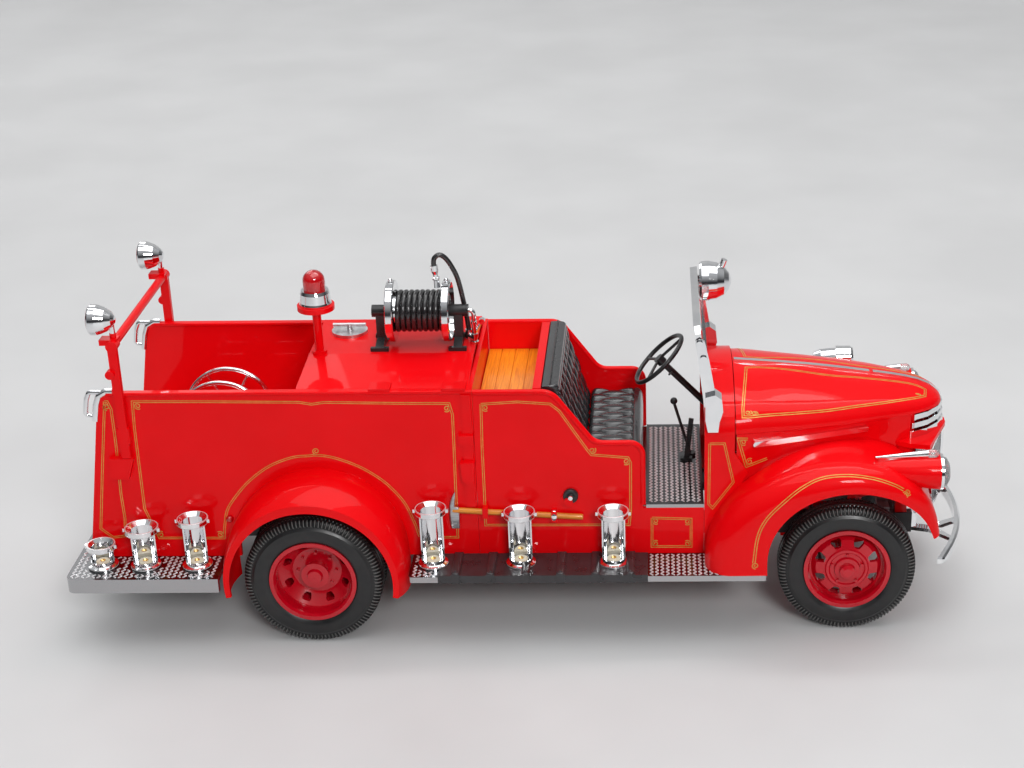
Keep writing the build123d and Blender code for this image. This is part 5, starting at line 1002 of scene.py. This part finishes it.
# %% Clip
CLIP_MIDDLE, CLIP_TALL = (76.4, -31.75, 39.4), 1.4
CLIP = [(-0.95, 0), (-0.95, 1.0), (-0.8, 1.3), (-0.3, 1.5), (0.3, 1.5), (0.8, 1.3), (0.95, 1.0), (0.95, 0)]
points, faces = turned(CLIP, CLIP_MIDDLE, (1, 0, 0), 40)
points[..., 1] = np.minimum(points[..., 1], -WALL_Y - 0.02)
points[..., 2] = CLIP_MIDDLE[2] + (points[..., 2] - CLIP_MIDDLE[2]) * CLIP_TALL
piece("axe_clip", (points, faces), chrome)

# %% [markdown]
# ## Cups
#
# The plated cups on the boards hold a foam disc with a small gold centre, and
# have rolled rims with two lugs. The solid cups have sharp rims. A bevel there
# would cut into their thin walls, so rings of round section lie on top: one on
# the rim, one below it and one at the foot.

# %% Cup fittings
DISC = [(0, 0), (0, 2.2), (0.7, 2.2), (0.85, 2.0), (0.85, 0)]
DISC_CENTRE = [(0, 0), (0, 0.9), (0.15, 0.8), (0.15, 0)]
twins = [(x, s * CUP_Y, top, ring) for x, top, ring in CUPS for s in (-1, 1)]


def lip(x, y, z, radius, thick):
    """A ring of round section: height z + t sin b, distance R + t cos b."""
    b = np.linspace(0, 2 * math.pi, 12, endpoint=False)
    section = np.stack([thick * np.sin(b), radius + thick * np.cos(b)], axis=-1)
    return turned(section, (x, y, z), (0, 0, 1), 56, True)


def boxes(middles, half):
    """One box of half sizes (x, y, z) round each middle point."""
    corner = np.array([(x, y, z) for z in (-1, 1) for x, y in CORNERS], float)
    points = np.asarray(middles, float)[:, None] + corner * half
    return points, box_faces(len(points))


foam = repeated(DISC, [(x, y, 26.15) for x, y, *_ in twins], (0, 0, 1), 32)
piece("cup_foam", foam, cream)
centres = repeated(DISC_CENTRE, [(x, y, 26.98) for x, y, *_ in twins], (0, 0, 1), 24)
piece("cup_centres", centres, gold)
lips = [lip(x, y, top - drop, ring - 0.24, 0.26) for drop in (0.18, 1.5) for x, y, top, ring in twins]
lips += [lip(x, y, 25.5, 4.5, 0.24) for x, y, *_ in twins]
piece("cup_lips", joined(lips), tread_bright, smooth=80)
lugs = [(x + k * (ring + 0.15), y, top - 0.9) for x, y, top, ring in twins for k in (-1, 1)]
piece("cup_lugs", boxes(lugs, (0.4, 0.6, 0.6)), chrome)

# %% [markdown]
# ## Mats and screws
#
# Round ridges run across the rubber mats, each with a stud at its outer end,
# and four screws hold the tailboard. They are small, but they break up the flat
# boards in every view, and a turned profile of a few rows is enough for each.

# %% Ridges, studs and screws
RIDGE = [(0, 0), (0.1, 0.6), (0.5, 0.95), (1.2, 1.0), (13.2, 1.0), (13.9, 0.95), (14.3, 0.6), (14.4, 0)]
RIDGE_SHAPE = (1.35, 1, 0.5)        # the round ridge made wider and lower
SCREW = [(-0.05, 0), (-0.05, 0.5), (0.12, 0.46), (0.24, 0.28), (0.28, 0)]
straps = [(45.5 + 11 * i, s) for i in range(6) for s in (-1, 1)]
ridges = []
for x, s in straps:
    points, faces = turned(RIDGE, (0, s * 31.4, 0), (0, s, 0), 20)
    ridges.append((points * RIDGE_SHAPE + (x, 0, 26.0), faces))
piece("mat_ridges", joined(ridges), mat_rubber, smooth=80)
corners = [(x, s * 42.6, BOARD_Z) for x in (-74.6, -33.0) for s in (-1, 1)]
piece("screws", repeated(SCREW, corners, (0, 0, 1), 16), chrome)
studs = repeated(SCREW, [(x, s * 44.4, 26.45) for x, s in straps], (0, 0, 1), 16)
piece("mat_studs", studs, mat_rubber)

# %% [markdown]
# ## Lamps and knob
#
# The rear lamps have shallow red lenses, two small lamps sit on the body walls,
# and the beacon wears a red dome. The solid dome is made of flat rings, which
# show on gloss, so a quarter of a circle is turned instead. A filler knob with
# a bright cap stands out from the right side.

# %% Lenses, dome and knob
REAR_LENS = [(-0.1, 0), (-0.1, 4.0), (0.3, 3.7), (0.7, 2.4), (0.85, 0)]
lenses = repeated(REAR_LENS, [(-63.4, s * 29.6, 106.4) for s in (-1, 1)], (-1, 0, 0), 40)
piece("rear_lenses", lenses, red_lens)
SIDE_LAMP = [(0, 0), (0, 1.2), (0.8, 1.1), (1.3, 0.7), (1.45, 0)]
lamps = joined([turned(SIDE_LAMP, (-27.2, s * WALL_Y, 38.5), (0, s, 0), 28) for s in (-1, 1)])
piece("side_lamps", lamps, red_lens)

DOME_FOOT, DOME_STRAIGHT, DOME_RISE, DOME_R = (1.0, -5.0, 106.6), 3.0, 3.5, 3.55
a = np.linspace(0, math.pi / 2, 14)
dome = [(0, 0), (0, 3.5), *zip(DOME_STRAIGHT + DOME_RISE * np.sin(a), DOME_R * np.cos(a))]
skin = turned(dome, DOME_FOOT, (0, 0, 1), 56)
made = piece("beacon_glass", skin, red_lens, smooth=60)
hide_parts("beacon_dome")

KNOB = [(0, 0), (0, 2.4), (1.1, 2.4), (1.4, 2.1), (1.4, 1.3), (2.0, 1.2), (2.2, 0.8), (2.2, 0)]
KNOB_CAP = [(0, 0), (0, 0.8), (0.3, 0.7), (0.45, 0)]
knob_x, knob_z = 81.7, 46.0
knob = turned(KNOB, (knob_x, -WALL_Y, knob_z), (0, -1, 0), 36)
piece("side_knob", knob, black_plastic)
cap = turned(KNOB_CAP, (knob_x, -WALL_Y - KNOB[-1][0], knob_z), (0, -1, 0), 24)
piece("knob_cap", cap, chrome)

# %% [markdown]
# ## The studio
#
# Plated parts show whatever stands around them, so the studio matters as much
# as their finish. A box of white walls would make them flat. Here a pale floor
# curves up into a backdrop, and the world is bright above and grey at the
# sides, which leaves them a dark line to show their form.

# %% Floor


def sweep(width, front, back, height, bend):
    """A floor in metres that turns up at the back on a quarter circle of radius bend."""
    a = np.linspace(0.0, math.pi / 2, 17)
    y = np.r_[front, back - bend + bend * np.sin(a), back]
    z = np.r_[0.0, bend - bend * np.cos(a), height]
    x = np.array([-width, width])
    return np.stack(np.broadcast_arrays(x[:, None], y[None], z[None]), axis=-1), grid_faces(2, len(y))


floor_paint = grained("floor_paint", (0.60, 0.60, 0.60), (0.64, 0.64, 0.64), 90.0, rough=(0.55, 0.65))
points, faces = sweep(width=8.0, front=-9.0, back=1.8, height=2.0, bend=0.5)
floor_mesh = bpy.data.meshes.new("floor")
floor_mesh.from_pydata(points.reshape(-1, 3).tolist(), [], faces.tolist())
floor_mesh.materials.append(floor_paint)
floor_mesh.shade_smooth()
floor = bpy.data.objects.new("floor", floor_mesh)
bpy.context.scene.collection.objects.link(floor)
print("floor faces", len(floor_mesh.polygons))

# %% [markdown]
# One large soft lamp hangs above, a small one stands on the camera's side and
# gives the sharp highlights, and a weak one behind draws the far edges. The
# backdrop has its own lamp, so its tone can change while the engine's stays.

# %% Lamps and world
MODEL_MIDDLE, BACKDROP_MIDDLE = (0.0, 0.0, 0.04), (0.0, 1.8, 0.5)
LAMPS = [("top_lamp", (0.10, -0.10, 0.95), (1.1, 0.7), 4.6, MODEL_MIDDLE),
         ("front_lamp", (0.35, -1.1, 0.75), (0.32, 0.26), 7.0, MODEL_MIDDLE),
         ("back_lamp", (-0.60, 0.85, 0.75), (0.7, 0.5), 1.8, MODEL_MIDDLE),
         ("backdrop_lamp", (0.0, 0.55, 1.7), (2.4, 0.4), 14.0, BACKDROP_MIDDLE)]    # in metres and watts
for lamp_name, spot, (width, depth), watts, aim in LAMPS:
    data = bpy.data.lights.new(lamp_name, "AREA")
    data.shape, data.size, data.size_y, data.energy = "RECTANGLE", width, depth, watts
    lamp = bpy.data.objects.new(lamp_name, data)
    lamp.location = spot
    lamp.rotation_euler = (Vector(aim) - Vector(spot)).to_track_quat("-Z", "Y").to_euler()
    bpy.context.scene.collection.objects.link(lamp)

world = bpy.data.worlds.new("studio")
world.use_nodes = True
bpy.context.scene.world = world
direction = wire(world, "ShaderNodeTexCoord").outputs["Generated"]
height = wire(world, "ShaderNodeSeparateXYZ", Vector=direction).outputs["Z"]
shade = ramp(world, height, (0.06, 0.06, 0.065), (0.75, 0.76, 0.78), 0.18, 0.75)
background = world.node_tree.nodes["Background"]
world.node_tree.links.new(shade, background.inputs["Color"])
background.inputs["Strength"].default_value = 0.6
print("lamps", [name for name, *_ in LAMPS])
